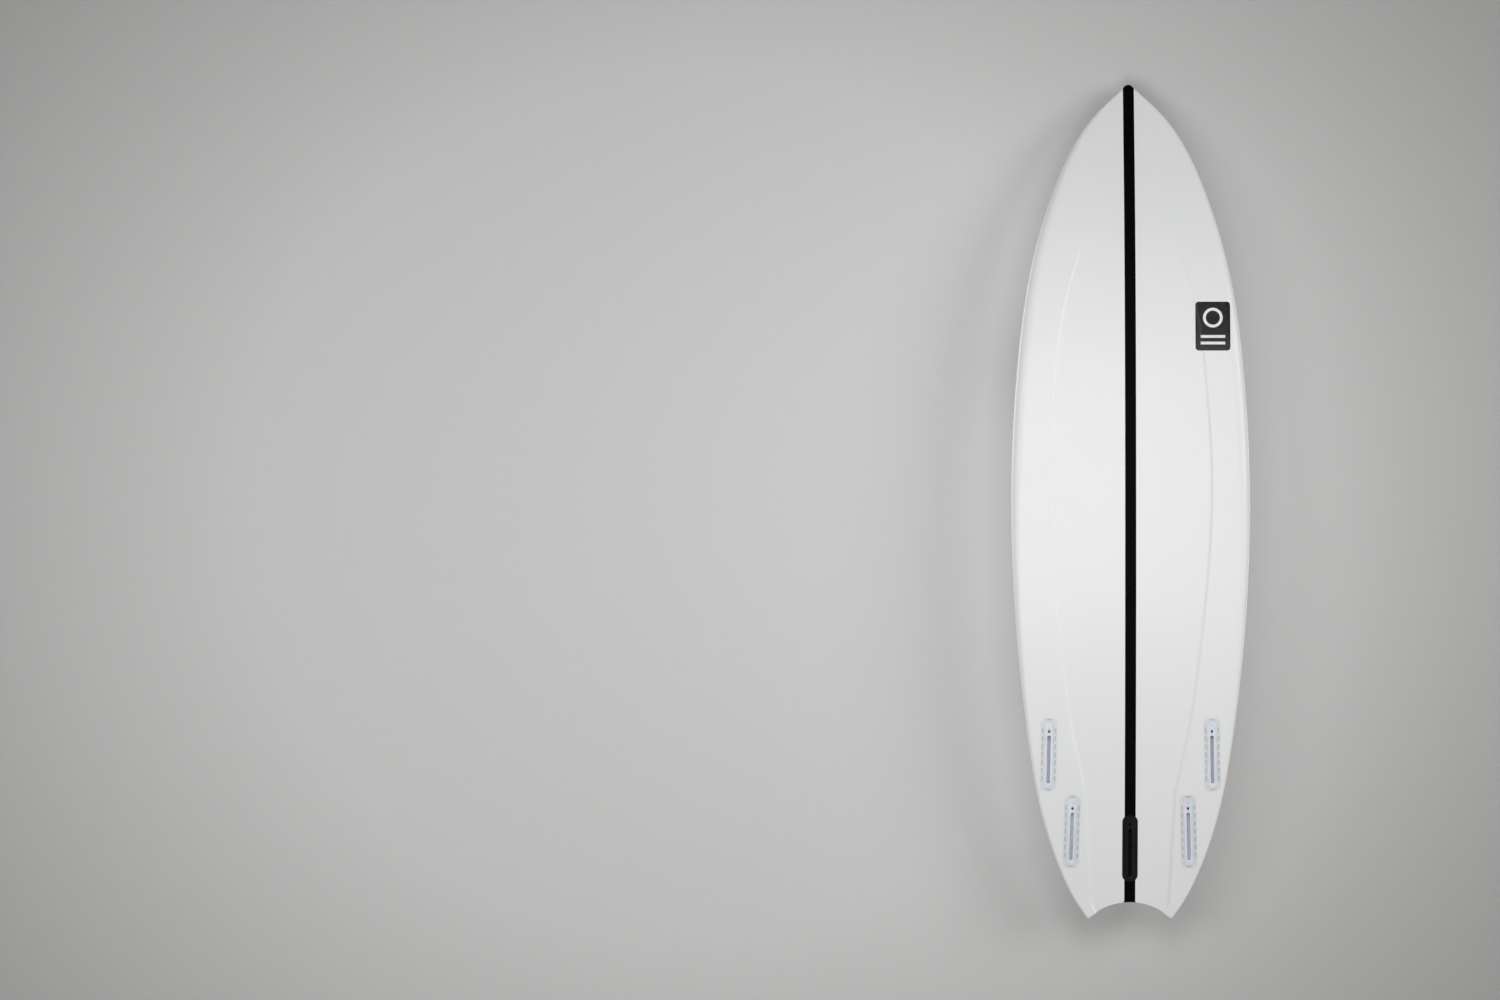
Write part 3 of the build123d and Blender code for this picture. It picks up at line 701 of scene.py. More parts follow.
class FinBox:
    """Where one fin box is, from its CAD node, and how it is laid out."""

    def __init__(self, name):
        self.name = name
        self.length, self.width, self.depth, self.toe_in, shorter = BOX_SIZES[name.split("_")[0]]
        low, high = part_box("fin_box_" + name)
        self.x = (low.x + high.x) / 2 if name != "centre" else 0
        self.station = (low.z + high.z) / 2 - LOW.z
        sunk = float(panel_fall(np.array(self.x), np.array(self.station)))
        self.place = at_bottom(self.x, self.station, self.toe_in, sunk)
        front = self.length / 2 + shorter
        self.screw_mouth = front - SCREW_FROM_FRONT
        self.pin_hole = front - PIN_HOLE_FROM_FRONT
        self.slot_middle = front - SLOT_FROM_FRONT - SLOT_LENGTH / 2
        self.slot_depth = self.depth - SLOT_FLOOR

    def covers(self, points):
        """Whether points lie well inside the flange's outline, near the bottom."""
        into_box = np.array(self.place.inverted())
        local = points @ into_box[:3, :3].T + into_box[:3, 3]
        corner = FLANGE_CORNER - HOLE_MARGIN
        beyond_x = np.maximum(np.abs(local[:, 0]) - self.width / 2 + FLANGE_CORNER, 0)
        beyond_z = np.maximum(np.abs(local[:, 2]) - self.length / 2 + FLANGE_CORNER, 0)
        return (np.hypot(beyond_x, beyond_z) < corner) & (np.abs(local[:, 1]) < ROOM_HALF_DEPTH)

    def bend_to_bottom(self, piece):
        """Carry a straight piece onto the board, following the rocker along its length."""
        local = np.array([vertex.co for vertex in piece.data.vertices])
        turn = np.array(self.place.to_3x3())
        shift = np.array(self.place.translation)
        placed = local @ turn.T + shift
        flat = (local * (1, 0, 1)) @ turn.T + shift
        surface = rail_or_bottom(flat[:, 0], flat[:, 2] - LOW.z)
        near = 1 - 0.5 * np.clip(-local[:, 1] / self.depth, 0, 1)
        placed[:, 1] += (surface - flat[:, 1]) * near
        piece.data.vertices.foreach_set("co", placed.ravel())
        piece.data.update()

    def body(self):
        """Flange with a ring of key holes, round a tub with a slot, a screw bore and a pin hole."""
        flange = prism(
            rounded_outline(self.width, self.length, FLANGE_CORNER), -FLANGE_THICKNESS, LIFT
        )
        tub_length = self.length - TUB_SHORTER
        room_outline = rounded_outline(
            TUB_WIDTH + 2 * TUB_GAP, tub_length + 2 * TUB_GAP, TUB_CORNER + TUB_GAP
        )
        room = prism(room_outline, -ROOM_HALF_DEPTH, ROOM_HALF_DEPTH)
        keys = []
        for px, pz, upright in self.key_places():
            size = (KEY_WIDTH, KEY_LENGTH) if upright else (KEY_LENGTH, KEY_WIDTH)
            outline = rounded_outline(*size, KEY_CORNER, step=20 * MM)
            keys.append(prism(outline, -KEY_DEPTH, CUT_TOP, (px, pz)))
        combine(flange, [room, join(keys)], "DIFFERENCE")
        tub = prism(rounded_outline(TUB_WIDTH, tub_length, TUB_CORNER), -self.depth, TUB_TOP)
        slot_outline = rounded_outline(SLOT_WIDTH, SLOT_LENGTH, SLOT_WIDTH / 2 - 0.05 * MM)
        slot = prism(slot_outline, -self.slot_depth, CUT_TOP, (0, self.slot_middle))
        bore_profile = [
            (0, BORE_OUTER), (BORE_RADIUS, BORE_OUTER), (BORE_RADIUS, BORE_INNER), (0, BORE_INNER),
        ]
        bore = lathe(bore_profile)
        bore.data.transform(self.screw_matrix())
        pin_outline = rounded_outline(PIN_HOLE_WIDTH, PIN_HOLE_WIDTH, PIN_HOLE_WIDTH / 2 - 0.01 * MM)
        pin = prism(pin_outline, -PIN_HOLE_DEPTH, CUT_TOP, (0, self.pin_hole))
        combine(tub, [slot, bore, pin], "DIFFERENCE")
        for face in flange.data.polygons:
            in_key = -1.1 * KEY_DEPTH < face.center.y < -0.1 * KEY_DEPTH
            face.material_index = 2 if in_key else 0
        for face in tub.data.polygons:
            face.material_index = 1
        made = join([flange, tub])
        self.bend_to_bottom(made)
        made.name = "fin_box_" + self.name + "_look"
        edge = made.modifiers.new("edge", "BEVEL")
        edge.width = EDGE_ROUND
        edge.segments = 2
        edge.limit_method = "ANGLE"
        edge.angle_limit = math.radians(50)
        made.data.shade_smooth()
        made.data.set_sharp_from_angle(angle=SHARP_ANGLE)
        black = self.name == "centre"
        zones = [face.material_index for face in made.data.polygons]
        finish_piece(made, ["fin_box_" + self.name], "board", FLANGE_PLASTIC)
        made.data.materials.clear()
        pale = (FLANGE_PLASTIC, TUB_PLASTIC, KEY_RESIN)
        for finish in (BLACK_PLASTIC,) * 3 if black else pale:
            made.data.materials.append(finish)
        for face, zone in zip(made.data.polygons, zones):
            face.material_index = zone
        return made

    def key_places(self):
        """Middle of each key hole, and whether it runs along the board."""
        across = self.width / 2 - KEY_FROM_EDGE
        count = int((self.length - KEY_END_ROOM) / KEY_PITCH)
        places = []
        for side in (LEFT, RIGHT):
            for i in range(count + 1):
                places.append((side * across, (i - count / 2) * KEY_PITCH, True))
        for end in (-1, 1):
            places.append((0, end * (self.length / 2 - KEY_FROM_EDGE), False))
        return places

    def screw_matrix(self):
        """Matrix whose Z runs into the box along the screw."""
        lean = Matrix.Rotation(math.pi - SCREW_TILT, 4, "X")
        return Matrix.Translation((0, 0, self.screw_mouth)) @ lean

    def screw(self, material):
        """Threaded set screw with a six-sided socket."""
        made = set_screw("fin_screw_" + self.name + "_look")
        sunk = Matrix.Translation((0, 0, SCREW_START))
        made.data.transform(self.place @ self.screw_matrix() @ sunk)
        body = "screw_" + self.name
        return finish_piece(made, ["fin_screw_" + self.name], body, material)


def lathe(profile, count=24, name="cutter"):
    """Closed solid of revolution about Z through (radius, height) points."""
    rings = []
    for radius, z in profile:
        radius = max(radius, 0.001 * MM)
        ring = []
        for k in range(count):
            turn = 2 * math.pi * k / count
            ring.append((radius * math.cos(turn), radius * math.sin(turn), z))
        rings.append(ring)
    return ring_stack(name, rings)


THREAD_PITCH = 0.8 * MM
THREAD_DEPTH = 0.32 * MM
SOCKET_RADIUS = 1.45 * MM


def set_screw(name):
    """Screw whose thread is a helix on the shank's radius, from its head at 0 inwards."""
    rings = []
    turns = [2 * math.pi * k / SCREW_FACETS for k in range(SCREW_FACETS)]

    def six_sided(turn):
        return SOCKET_RADIUS * math.cos(math.pi / 6) / math.cos((turn % (math.pi / 3)) - math.pi / 6)

    for radius_share, z in ((1.0, 3.0 * MM), (1.0, 0.25 * MM), (1.12, 0.0)):
        rings.append([(six_sided(a) * radius_share, z) for a in turns])
    rings.append([(2.0 * MM, 0.0) for _ in turns])
    for z in np.arange(0.45 * MM, SCREW_LENGTH - SCREW_CHAMFER, THREAD_PITCH / 8):
        ring = []
        for a in turns:
            phase = (z / THREAD_PITCH + a / (2 * math.pi)) % 1
            ring.append((SCREW_RADIUS - THREAD_DEPTH * abs(2 * phase - 1), z))
        rings.append(ring)
    rings.append([(1.9 * MM, SCREW_LENGTH - 0.3 * MM) for _ in turns])
    rings.append([(1.7 * MM, SCREW_LENGTH) for _ in turns])
    placed = []
    for ring in rings:
        placed.append([
            (r * math.cos(a), r * math.sin(a), z) for (r, z), a in zip(ring, turns)
        ])
    return ring_stack(name, placed)


def deck_place(x, s):
    """Matrix of a place on the deck: Y outwards and Z towards the nose."""
    across = float(deck_surface(x + MM, s) - deck_surface(x - MM, s)) / (2 * MM)
    along = float(deck_surface(x, s + MM) - deck_surface(x, s - MM)) / (2 * MM)
    outward = Vector((across, -1, along)).normalized()
    forward = Vector((0, along, 1)).normalized()
    sideways = outward.cross(forward).normalized()
    matrix = Matrix((sideways, outward, sideways.cross(outward))).transposed().to_4x4()
    return Matrix.Translation((x, float(deck_surface(x, s)), float(height(s)))) @ matrix


# The plug leans with the deck, so its rim's middle lies this far in from its box's middle.
PLUG_LEAN = 0.6 * MM


def plug_centre():
    """Place of the leash plug on the deck, from its CAD node."""
    low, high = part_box("leash_plug")
    return (low.x + high.x) / 2 - PLUG_LEAN, (low.z + high.z) / 2 - LOW.z


# Width, length and height of the leash plug's rings, from its foot over the rim to its floor.
PLUG_RINGS_MM = (
    (15.0, 32.0, -10.0), (17.0, 34.0, -9.2), (17.0, 34.0, -2.6), (21.2, 38.4, -2.6),
    (21.4, 38.6, -0.1), (21.1, 38.3, 0.25), (20.0, 37.2, 0.45), (13.0, 28.4, 0.45),
    (10.6, 26.0, 0.2), (9.2, 24.6, -0.8), (8.6, 24.0, -2.2), (8.4, 23.8, -6.4),
    (7.0, 22.4, -7.3), (4.6, 20.0, -7.6),
)
LEASH_BAR_RADIUS_MM = 1.6
LEASH_BAR_WAIST_MM = 0.12
LEASH_BAR_HALF_LENGTH = 6.0 * MM
LEASH_BAR_SUNK = 3.6 * MM


def leash_plug(material):
    """Oval cup with a rolled rim and a rounded hollow."""
    x, s = plug_centre()
    place = deck_place(np.array(x), np.array(s))
    rings = []
    for width, length, y in PLUG_RINGS_MM:
        outline = rounded_outline(width * MM, length * MM, width * MM / 2 - 0.05 * MM, step=4.5 * MM)
        rings.append([(px, y * MM, pz) for px, pz in outline])
    count = min(len(ring) for ring in rings)
    rings = [resample(ring, count) for ring in rings]
    made = ring_stack("leash_plug_look", rings[::-1])
    made.data.transform(place)
    return finish_piece(made, ["leash_plug"], "board", material)


def resample(ring, count):
    """The same closed ring with count points, evenly spread from its first point."""
    points = np.array(ring + [ring[0]], float)
    run = np.concatenate([[0], np.cumsum(np.linalg.norm(np.diff(points, axis=0), axis=1))])
    at = np.linspace(0, run[-1], count, endpoint=False)
    return [tuple(np.interp(a, run, points[:, k]) for k in range(3)) for a in at]


def leash_bar(material):
    """Steel bar across the cup, slightly waisted where the string sits."""
    x, s = plug_centre()
    place = deck_place(np.array(x), np.array(s))
    profile = []
    for share in np.linspace(-1, 1, 17):
        waist = LEASH_BAR_WAIST_MM * (1 - share**2) ** 2
        profile.append(((LEASH_BAR_RADIUS_MM - waist) * MM, share * LEASH_BAR_HALF_LENGTH))
    made = lathe(profile, count=28, name="leash_bar_look")
    across = Matrix.Rotation(math.pi / 2, 4, "Y")
    made.data.transform(place @ Matrix.Translation((0, -LEASH_BAR_SUNK, 0)) @ across)
    return finish_piece(made, ["leash_bar"], "board", material)


# Printed marks


def conforming(name, rings, surface, outward, lift=LIFT):
    """Thin piece laid on a surface, from rows of (x, station) points of equal count."""
    grid = np.array(rings, float)
    x = grid[..., 0]
    s = grid[..., 1]
    y = surface(x, s) + outward * lift
    sheets = Sheets()
    sheets.add_grid(x, y, height(s), flip=outward < 0)
    return sheets.build(name, weld=0.01 * MM)


PATCH_HALF_WIDTH = 15 * MM
PATCH_HALF_LENGTH = 20 * MM
LOBE_ACROSS = 15.5 * MM
LOBE_ALONG = 16 * MM
LOBE_RADIUS = 8.5 * MM
PATCH_INNER_LENGTH = 18.9 * MM
PATCH_INNER_SLIMNESS = 1.85


def lobed_radius(turn):
    """Reach of the leash patch in a direction: a plain middle and four round lobes."""
    across = abs(math.cos(turn))
    along = abs(math.sin(turn))
    reach = min(PATCH_HALF_WIDTH / max(across, 1e-6), PATCH_HALF_LENGTH / max(along, 1e-6))
    toward = across * LOBE_ACROSS + along * LOBE_ALONG
    aside = LOBE_ACROSS**2 + LOBE_ALONG**2 - toward**2
    if aside < LOBE_RADIUS**2:
        reach = max(reach, toward + math.sqrt(LOBE_RADIUS**2 - aside))
    return reach


LEAF_LENGTH = 160 * MM
LEAF_WIDTH = 78 * MM
LEAF_SLIT_HALF = 2 * MM
SLIT_SHARE = 0.8
SLIT_ENDS = (-SLIT_SHARE - 0.001, SLIT_SHARE + 0.001)
LEAF_ROWS = sorted([*np.linspace(-1, 1, 61), -SLIT_SHARE, SLIT_SHARE, *SLIT_ENDS])
RULE_LENGTH = 142 * MM
RULE_WIDTH = 3 * MM
BAR_COUNT = 11
BAR_PITCH = 12.5 * MM
BAR_WIDTH = 7 * MM
BAR_LENGTH = 18 * MM
BAR_FROM_FOOT = 17.5 * MM


def deck_marks(material):
    """Plain leaf with a slit, and a plain rule with a row of plain bars."""
    radius = (LEAF_LENGTH**2 + LEAF_WIDTH**2) / (4 * LEAF_WIDTH)
    centre = mark_centre("deck_mark")
    halves = []
    for side in (LEFT, RIGHT):
        rows = []
        for share in LEAF_ROWS:
            along = share * LEAF_LENGTH / 2
            reach = math.sqrt(radius**2 - along**2) - (radius - LEAF_WIDTH / 2)
            inner = LEAF_SLIT_HALF if abs(share) <= SLIT_SHARE else 0.0
            inner = min(inner, reach)
            across = np.linspace(inner, max(reach, inner + 0.05 * MM), 24)
            rows.append(np.stack([centre[0] + side * across, 0 * across + centre[1] + along], -1))
        halves.append(conforming("leaf", rows[::side], deck_surface, -1))
    leaf = join(halves)
    leaf.name = "deck_mark_look"
    finish_piece(leaf, ["deck_mark"], "board", material)
    centre = mark_centre("deck_rule_mark")
    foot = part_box("deck_rule_mark")[0].z - LOW.z
    plates = [rectangle(centre[0], foot + RULE_WIDTH / 2, RULE_LENGTH, RULE_WIDTH, deck_surface, -1)]
    for i in range(BAR_COUNT):
        x = centre[0] + (i - (BAR_COUNT - 1) / 2) * BAR_PITCH
        plates.append(rectangle(x, foot + BAR_FROM_FOOT, BAR_WIDTH, BAR_LENGTH, deck_surface, -1))
    rule = join(plates)
    rule.name = "deck_rule_mark_look"
    finish_piece(rule, ["deck_rule_mark"], "board", material)


def mark_centre(node):
    """Place across and station of the middle of a mark's CAD node."""
    low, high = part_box(node)
    return (low.x + high.x) / 2, (low.z + high.z) / 2 - LOW.z


def rectangle(x, s, width, length, surface, outward, lift=LIFT):
    """Conforming rectangle about a place."""
    across = x + np.linspace(-0.5, 0.5, max(int(width / (2 * MM)), 3)) * width
    along = s + np.linspace(-0.5, 0.5, max(int(length / (2 * MM)), 3)) * length
    grid_x, grid_s = np.meshgrid(across, along)
    rows = np.stack([grid_x, grid_s], -1)
    return conforming("rectangle", rows, surface, outward, lift)


def ring_patch(x, s):
    """The badge's ring about a place on the bottom."""
    turns = np.linspace(0, 2 * math.pi, 181)
    rings = []
    for radius in np.linspace(RING_INNER, RING_OUTER, 5):
        rings.append(np.stack([x + radius * np.cos(turns), s + radius * np.sin(turns)], -1))
    return conforming("ring", rings, rail_or_bottom, 1, 2 * LIFT)


BADGE_SIZE = (74 * MM, 104 * MM)
BADGE_CORNER = 7 * MM
RING_ABOVE = 18 * MM
RING_OUTER = 21 * MM
RING_INNER = 15 * MM
STRIPES_FROM_MIDDLE = (-22 * MM, -36 * MM)
STRIPE_SIZE = (52 * MM, 6 * MM)


def badge(black, white):
    """Black badge with round corners, and a plain ring over two stripes on it."""
    centre = mark_centre("bottom_badge")
    width, length = BADGE_SIZE
    corner = BADGE_CORNER
    rows = []
    along = np.concatenate([
        -length / 2 + corner * (1 - np.cos(np.linspace(0, math.pi / 2, 9))),
        np.linspace(-length / 2 + corner, length / 2 - corner, 60)[1:-1],
        length / 2 - corner * (1 - np.sin(np.linspace(0, math.pi / 2, 9))),
    ])
    for z in along:
        over = max(abs(z) - (length / 2 - corner), 0)
        reach = width / 2 - corner + math.sqrt(max(corner**2 - over**2, 0))
        across = np.linspace(-reach, reach, 80)
        rows.append(np.stack([centre[0] + across, 0 * across + centre[1] + z], -1))
    plate = conforming("bottom_badge_look", rows, rail_or_bottom, 1)
    finish_piece(plate, ["bottom_badge"], "board", black)
    pieces = [ring_patch(centre[0], centre[1] + RING_ABOVE)]
    for z in STRIPES_FROM_MIDDLE:
        stripe = rectangle(centre[0], centre[1] + z, *STRIPE_SIZE, rail_or_bottom, 1, 2 * LIFT)
        pieces.append(stripe)
    figure = join(pieces)
    figure.name = "badge_glyph_look"
    finish_piece(figure, ["badge_glyph"], "board", white)


def leash_patch(material):
    """Dark patch with four lobes round the leash plug's flange."""
    x, s = plug_centre()
    rings = []
    turns = np.linspace(0, 2 * math.pi, 241)
    for share in np.linspace(0, 1, 14):
        ring = []
        for turn in turns:
            slim = math.hypot(math.sin(turn), PATCH_INNER_SLIMNESS * math.cos(turn))
            rim = PATCH_INNER_LENGTH / slim
            reach = rim + share * (lobed_radius(turn) - rim)
            ring.append((x + reach * math.cos(turn), s + reach * math.sin(turn)))
        rings.append(ring)
    piece = conforming("leash_patch_look", rings, deck_surface, -1)
    finish_piece(piece, ["leash_patch"], "board", material)


# Materials


class Nodes:
    """Short ways to add and join the nodes of a material or a group."""

    def __init__(self, tree):
        self.tree = tree

    def add(self, kind, inputs=None, **settings):
        node = self.tree.nodes.new("ShaderNode" + kind)
        for key, value in settings.items():
            setattr(node, key, value)
        for key, value in (inputs or {}).items():
            if isinstance(value, bpy.types.NodeSocket):
                self.tree.links.new(value, node.inputs[key])
            else:
                node.inputs[key].default_value = value
        return node

    def math(self, operation, a, b=0.0):
        return self.add("Math", {0: a, 1: b}, operation=operation).outputs[0]

    def noise(self, scale, where, detail=3.0, roughness=0.5):
        inputs = {"Vector": where, "Scale": scale, "Detail": detail, "Roughness": roughness}
        return self.add("TexNoise", inputs).outputs["Fac"]

    def place(self):
        return self.add("TexCoord").outputs["Object"]

    def stretched(self, where, scale):
        return self.add("Mapping", {"Vector": where, "Scale": scale}).outputs[0]

    def range(self, value, low, high, from_low=0.0, from_high=1.0):
        inputs = {0: value, 1: from_low, 2: from_high, 3: low, 4: high}
        return self.add("MapRange", inputs).outputs[0]

    def mix(self, share, first, second):
        node = self.add("Mix", data_type="RGBA")
        for index, value in ((0, share), (6, first), (7, second)):
            if isinstance(value, bpy.types.NodeSocket):
                self.tree.links.new(value, node.inputs[index])
            elif index == 0:
                node.inputs[index].default_value = value
            else:
                node.inputs[index].default_value = (*value, 1.0)
        return node.outputs[2]


def new_group(name, inputs, outputs):
    """Node group with named float inputs and outputs; gives its nodes and both ends."""
    tree = bpy.data.node_groups.new(name, "ShaderNodeTree")
    for label, value in inputs:
        socket = tree.interface.new_socket(label, in_out="INPUT", socket_type="NodeSocketFloat")
        socket.default_value = value
    for label in outputs:
        tree.interface.new_socket(label, in_out="OUTPUT", socket_type="NodeSocketFloat")
    nodes = Nodes(tree)
    start = tree.nodes.new("NodeGroupInput")
    end = tree.nodes.new("NodeGroupOutput")
    return nodes, start, end


def glass_cloth_group():
    """Plain weave of glass cloth seen through resin: a height and a mask of its threads."""
    nodes, start, end = new_group("Glass Cloth", [("Threads per metre", 620.0)], ["Height", "Threads"])
    place = nodes.place()
    ways = []
    for direction in ("X", "Z"):
        wave = nodes.add(
            "TexWave",
            {"Vector": place, "Scale": start.outputs[0], "Distortion": 0.3, "Detail": 1.0},
            bands_direction=direction,
        )
        ways.append(wave.outputs["Fac"])
    height = nodes.math("MULTIPLY", ways[0], ways[1])
    threads = nodes.range(nodes.math("MAXIMUM", ways[0], ways[1]), 0.0, 1.0, 0.3, 1.0)
    nodes.tree.links.new(height, end.inputs["Height"])
    nodes.tree.links.new(threads, end.inputs["Threads"])
    return nodes.tree


def resin_ripple_group():
    """Slow ripples and fine orange peel of sanded resin, with a mask of duller patches."""
    nodes, start, end = new_group(
        "Resin Ripple", [("Ripple size", 9.0), ("Peel size", 420.0)], ["Height", "Dullness"]
    )
    place = nodes.place()
    slow = nodes.noise(start.outputs["Ripple size"], place, 2.0)
    peel = nodes.noise(start.outputs["Peel size"], place, 2.0)
    height = nodes.math("ADD", nodes.math("MULTIPLY", slow, 0.7), nodes.math("MULTIPLY", peel, 0.3))
    dull = nodes.range(nodes.noise(5.0, place, 6.0, 0.62), 0.0, 1.0, 0.35, 0.7)
    nodes.tree.links.new(height, end.inputs["Height"])
    nodes.tree.links.new(dull, end.inputs["Dullness"])
    return nodes.tree


def moulded_grain_group():
    """Fine spark-eroded grain of moulded plastic, with faint flow marks."""
    nodes, start, end = new_group("Moulded Grain", [("Grain size", 2600.0)], ["Height", "Flow"])
    place = nodes.place()
    grain = nodes.noise(start.outputs[0], place, 3.0, 0.6)
    flow = nodes.noise(26.0, nodes.stretched(place, (2.5, 1.0, 0.4)), 4.0)
    nodes.tree.links.new(grain, end.inputs["Height"])
    nodes.tree.links.new(flow, end.inputs["Flow"])
    return nodes.tree


def handling_marks_group():
    """Thin scuffs and dust that a handled surface carries: one mask."""
    nodes, start, end = new_group("Handling Marks", [("Size", 14.0), ("Share", 0.5)], ["Marks"])
    place = nodes.place()
    long_way = nodes.stretched(place, (14.0, 14.0, 1.2))
    lines = nodes.noise(start.outputs["Size"], long_way, 5.0, 0.7)
    patches = nodes.noise(7.0, place, 3.0)
    lines = nodes.range(lines, 0.0, 1.0, 0.62, 0.72)
    patches = nodes.range(patches, 0.0, 1.0, 0.5, 0.65)
    marks = nodes.math("MULTIPLY", nodes.math("MULTIPLY", lines, patches), start.outputs["Share"])
    nodes.tree.links.new(marks, end.inputs["Marks"])
    return nodes.tree


GLASS_CLOTH = glass_cloth_group()
RESIN_RIPPLE = resin_ripple_group()
MOULDED_GRAIN = moulded_grain_group()
HANDLING_MARKS = handling_marks_group()


def new_material(name):
    """A material's nodes and its Principled shader."""
    material = bpy.data.materials.new(name)
    material.use_nodes = True
    return material, Nodes(material.node_tree), material.node_tree.nodes["Principled BSDF"]


def use(nodes, group, **inputs):
    """Add a node group with some of its inputs set; an underscore stands for a space."""
    node = nodes.tree.nodes.new("ShaderNodeGroup")
    node.node_tree = group
    for key, value in inputs.items():
        node.inputs[key.replace("_", " ")].default_value = value
    return node


def dress(nodes, shader, colour, roughness, heights, **constants):
    """Join a colour, a roughness and bump heights as (height, strength, distance) to a shader."""
    links = nodes.tree.links
    links.new(colour, shader.inputs["Base Color"])
    links.new(roughness, shader.inputs["Roughness"])
    normal = None
    for height, strength, distance in heights:
        bump = nodes.add("Bump", {"Strength": strength, "Distance": distance, "Height": height})
        if normal is not None:
            links.new(normal, bump.inputs["Normal"])
        normal = bump.outputs[0]
    links.new(normal, shader.inputs["Normal"])
    for key, value in constants.items():
        shader.inputs[key.replace("_", " ")].default_value = value


def white_laminate_material():
    """Gloss white resin over glass cloth, with painted shade where the surface turns away from the
    view.
    """
    material, nodes, shader = new_material("white_laminate")
    cloth = use(nodes, GLASS_CLOTH)
    ripple = use(nodes, RESIN_RIPPLE)
    marks = use(nodes, HANDLING_MARKS, Share=0.35)
    cloudy = nodes.range(nodes.noise(2.2, nodes.place(), 4.0), 0.0, 1.0, 0.3, 0.7)
    white = nodes.mix(cloudy, (0.775, 0.78, 0.785), (0.80, 0.803, 0.805))
    woven = nodes.mix(nodes.math("MULTIPLY", cloth.outputs["Threads"], 0.05), white, (0.62, 0.65, 0.66))
    scuffed = nodes.mix(nodes.math("MULTIPLY", marks.outputs["Marks"], 0.2), woven, (0.52, 0.51, 0.49))
    # Painted shade: the colour goes towards grey where the surface turns away from the view, as on the
    # rails.
    facing = nodes.add("LayerWeight", {"Blend": 0.5}).outputs["Facing"]
    painted_rail_shade = nodes.range(facing, 0.0, 0.6, 0.55, 0.95)
    colour = nodes.mix(painted_rail_shade, scuffed, (0.30, 0.30, 0.30))
    dull = nodes.range(ripple.outputs["Dullness"], 0.38, 0.50)
    roughness = nodes.math("ADD", dull, nodes.math("MULTIPLY", marks.outputs["Marks"], 0.3))
    heights = [(ripple.outputs["Height"], 0.10, 0.0006), (cloth.outputs["Height"], 0.05, 0.0001)]
    dress(
        nodes, shader, colour, roughness, heights,
        Coat_Weight=0.15, Coat_Roughness=0.2, Coat_IOR=1.5, IOR=1.5, Specular_IOR_Level=0.35,
    )
    return material


def stringer_material():
    """Black composite strip: long fibres under resin, with pale flecks."""
    material, nodes, shader = new_material("stringer")
    ripple = use(nodes, RESIN_RIPPLE)
    marks = use(nodes, HANDLING_MARKS, Share=0.7)
    place = nodes.place()
    fibres = nodes.noise(260.0, nodes.stretched(place, (1.0, 1.0, 0.02)), 4.0, 0.65)
    pale = nodes.range(fibres, 0.0, 1.0, 0.3, 0.75)
    tone = nodes.mix(pale, (0.0002, 0.0002, 0.0003), (0.0018, 0.0018, 0.0020))
    scuffs = marks.outputs["Marks"]
    colour = nodes.mix(nodes.math("MULTIPLY", scuffs, 0.4), tone, (0.012, 0.012, 0.012))
    dull = nodes.math("MULTIPLY", scuffs, 0.2)
    roughness = nodes.math("ADD", nodes.range(fibres, 0.48, 0.66), dull)
    heights = [(ripple.outputs["Height"], 0.12, 0.0005), (fibres, 0.10, 0.0001)]
    dress(
        nodes, shader, colour, roughness, heights,
        Coat_Roughness=0.3, Coat_IOR=1.5, Specular_IOR_Level=0.04,
    )
    return material


def pinline_material():
    """Dark grey painted line under resin, a little thin in places."""
    material, nodes, shader = new_material("pinline")
    ripple = use(nodes, RESIN_RIPPLE)
    thin = nodes.noise(160.0, nodes.place(), 4.0, 0.6)
    worn = nodes.range(thin, 0.0, 1.0, 0.35, 0.75)
    colour = nodes.mix(worn, (0.010, 0.010, 0.011), (0.030, 0.031, 0.033))
    roughness = nodes.range(ripple.outputs["Dullness"], 0.28, 0.40)
    heights = [(thin, 0.12, 0.0001)]
    dress(nodes, shader, colour, roughness, heights, Coat_Weight=0.5, Coat_Roughness=0.1)
    return material


def box_plastic_material(name, dark, light, softness=0.0, gloss=0.4):
    """Moulded fin box plastic, a little translucent when pale."""
    material, nodes, shader = new_material(name)
    grain = use(nodes, MOULDED_GRAIN)
    marks = use(nodes, HANDLING_MARKS, Size=30.0, Share=0.8)
    body = nodes.mix(nodes.range(grain.outputs["Flow"], 0.0, 1.0, 0.3, 0.7), dark, light)
    worn = tuple(0.8 * value + 0.05 for value in light)
    colour = nodes.mix(nodes.math("MULTIPLY", marks.outputs["Marks"], 0.35), body, worn)
    roughness = nodes.range(grain.outputs["Height"], 0.42, 0.58)
    dress(
        nodes, shader, colour, roughness, [(grain.outputs["Height"], 0.22, 0.00008)],
        Subsurface_Weight=softness, Subsurface_Scale=0.006, Specular_IOR_Level=gloss,
    )
    return material


def steel_material(name, dark, light):
    """Stainless steel with turning marks and a trace of salt."""
    material, nodes, shader = new_material(name)
    place = nodes.place()
    marks = use(nodes, HANDLING_MARKS, Size=60.0, Share=1.0)
    turned = nodes.noise(3200.0, nodes.stretched(place, (0.15, 1.0, 1.0)), 3.0, 0.6)
    salt = nodes.range(nodes.noise(900.0, place, 4.0), 0.0, 1.0, 0.6, 0.75)
    steel = nodes.mix(turned, dark, light)
    colour = nodes.mix(nodes.math("MULTIPLY", salt, 0.12), steel, (0.70, 0.68, 0.64))
    dull = nodes.math("MULTIPLY", marks.outputs["Marks"], 0.2)
    roughness = nodes.math("ADD", nodes.range(turned, 0.18, 0.32), dull)
    heights = [(turned, 0.15, 0.00005)]
    dress(nodes, shader, colour, roughness, heights, Metallic=1.0, Anisotropic=0.3)
    return material


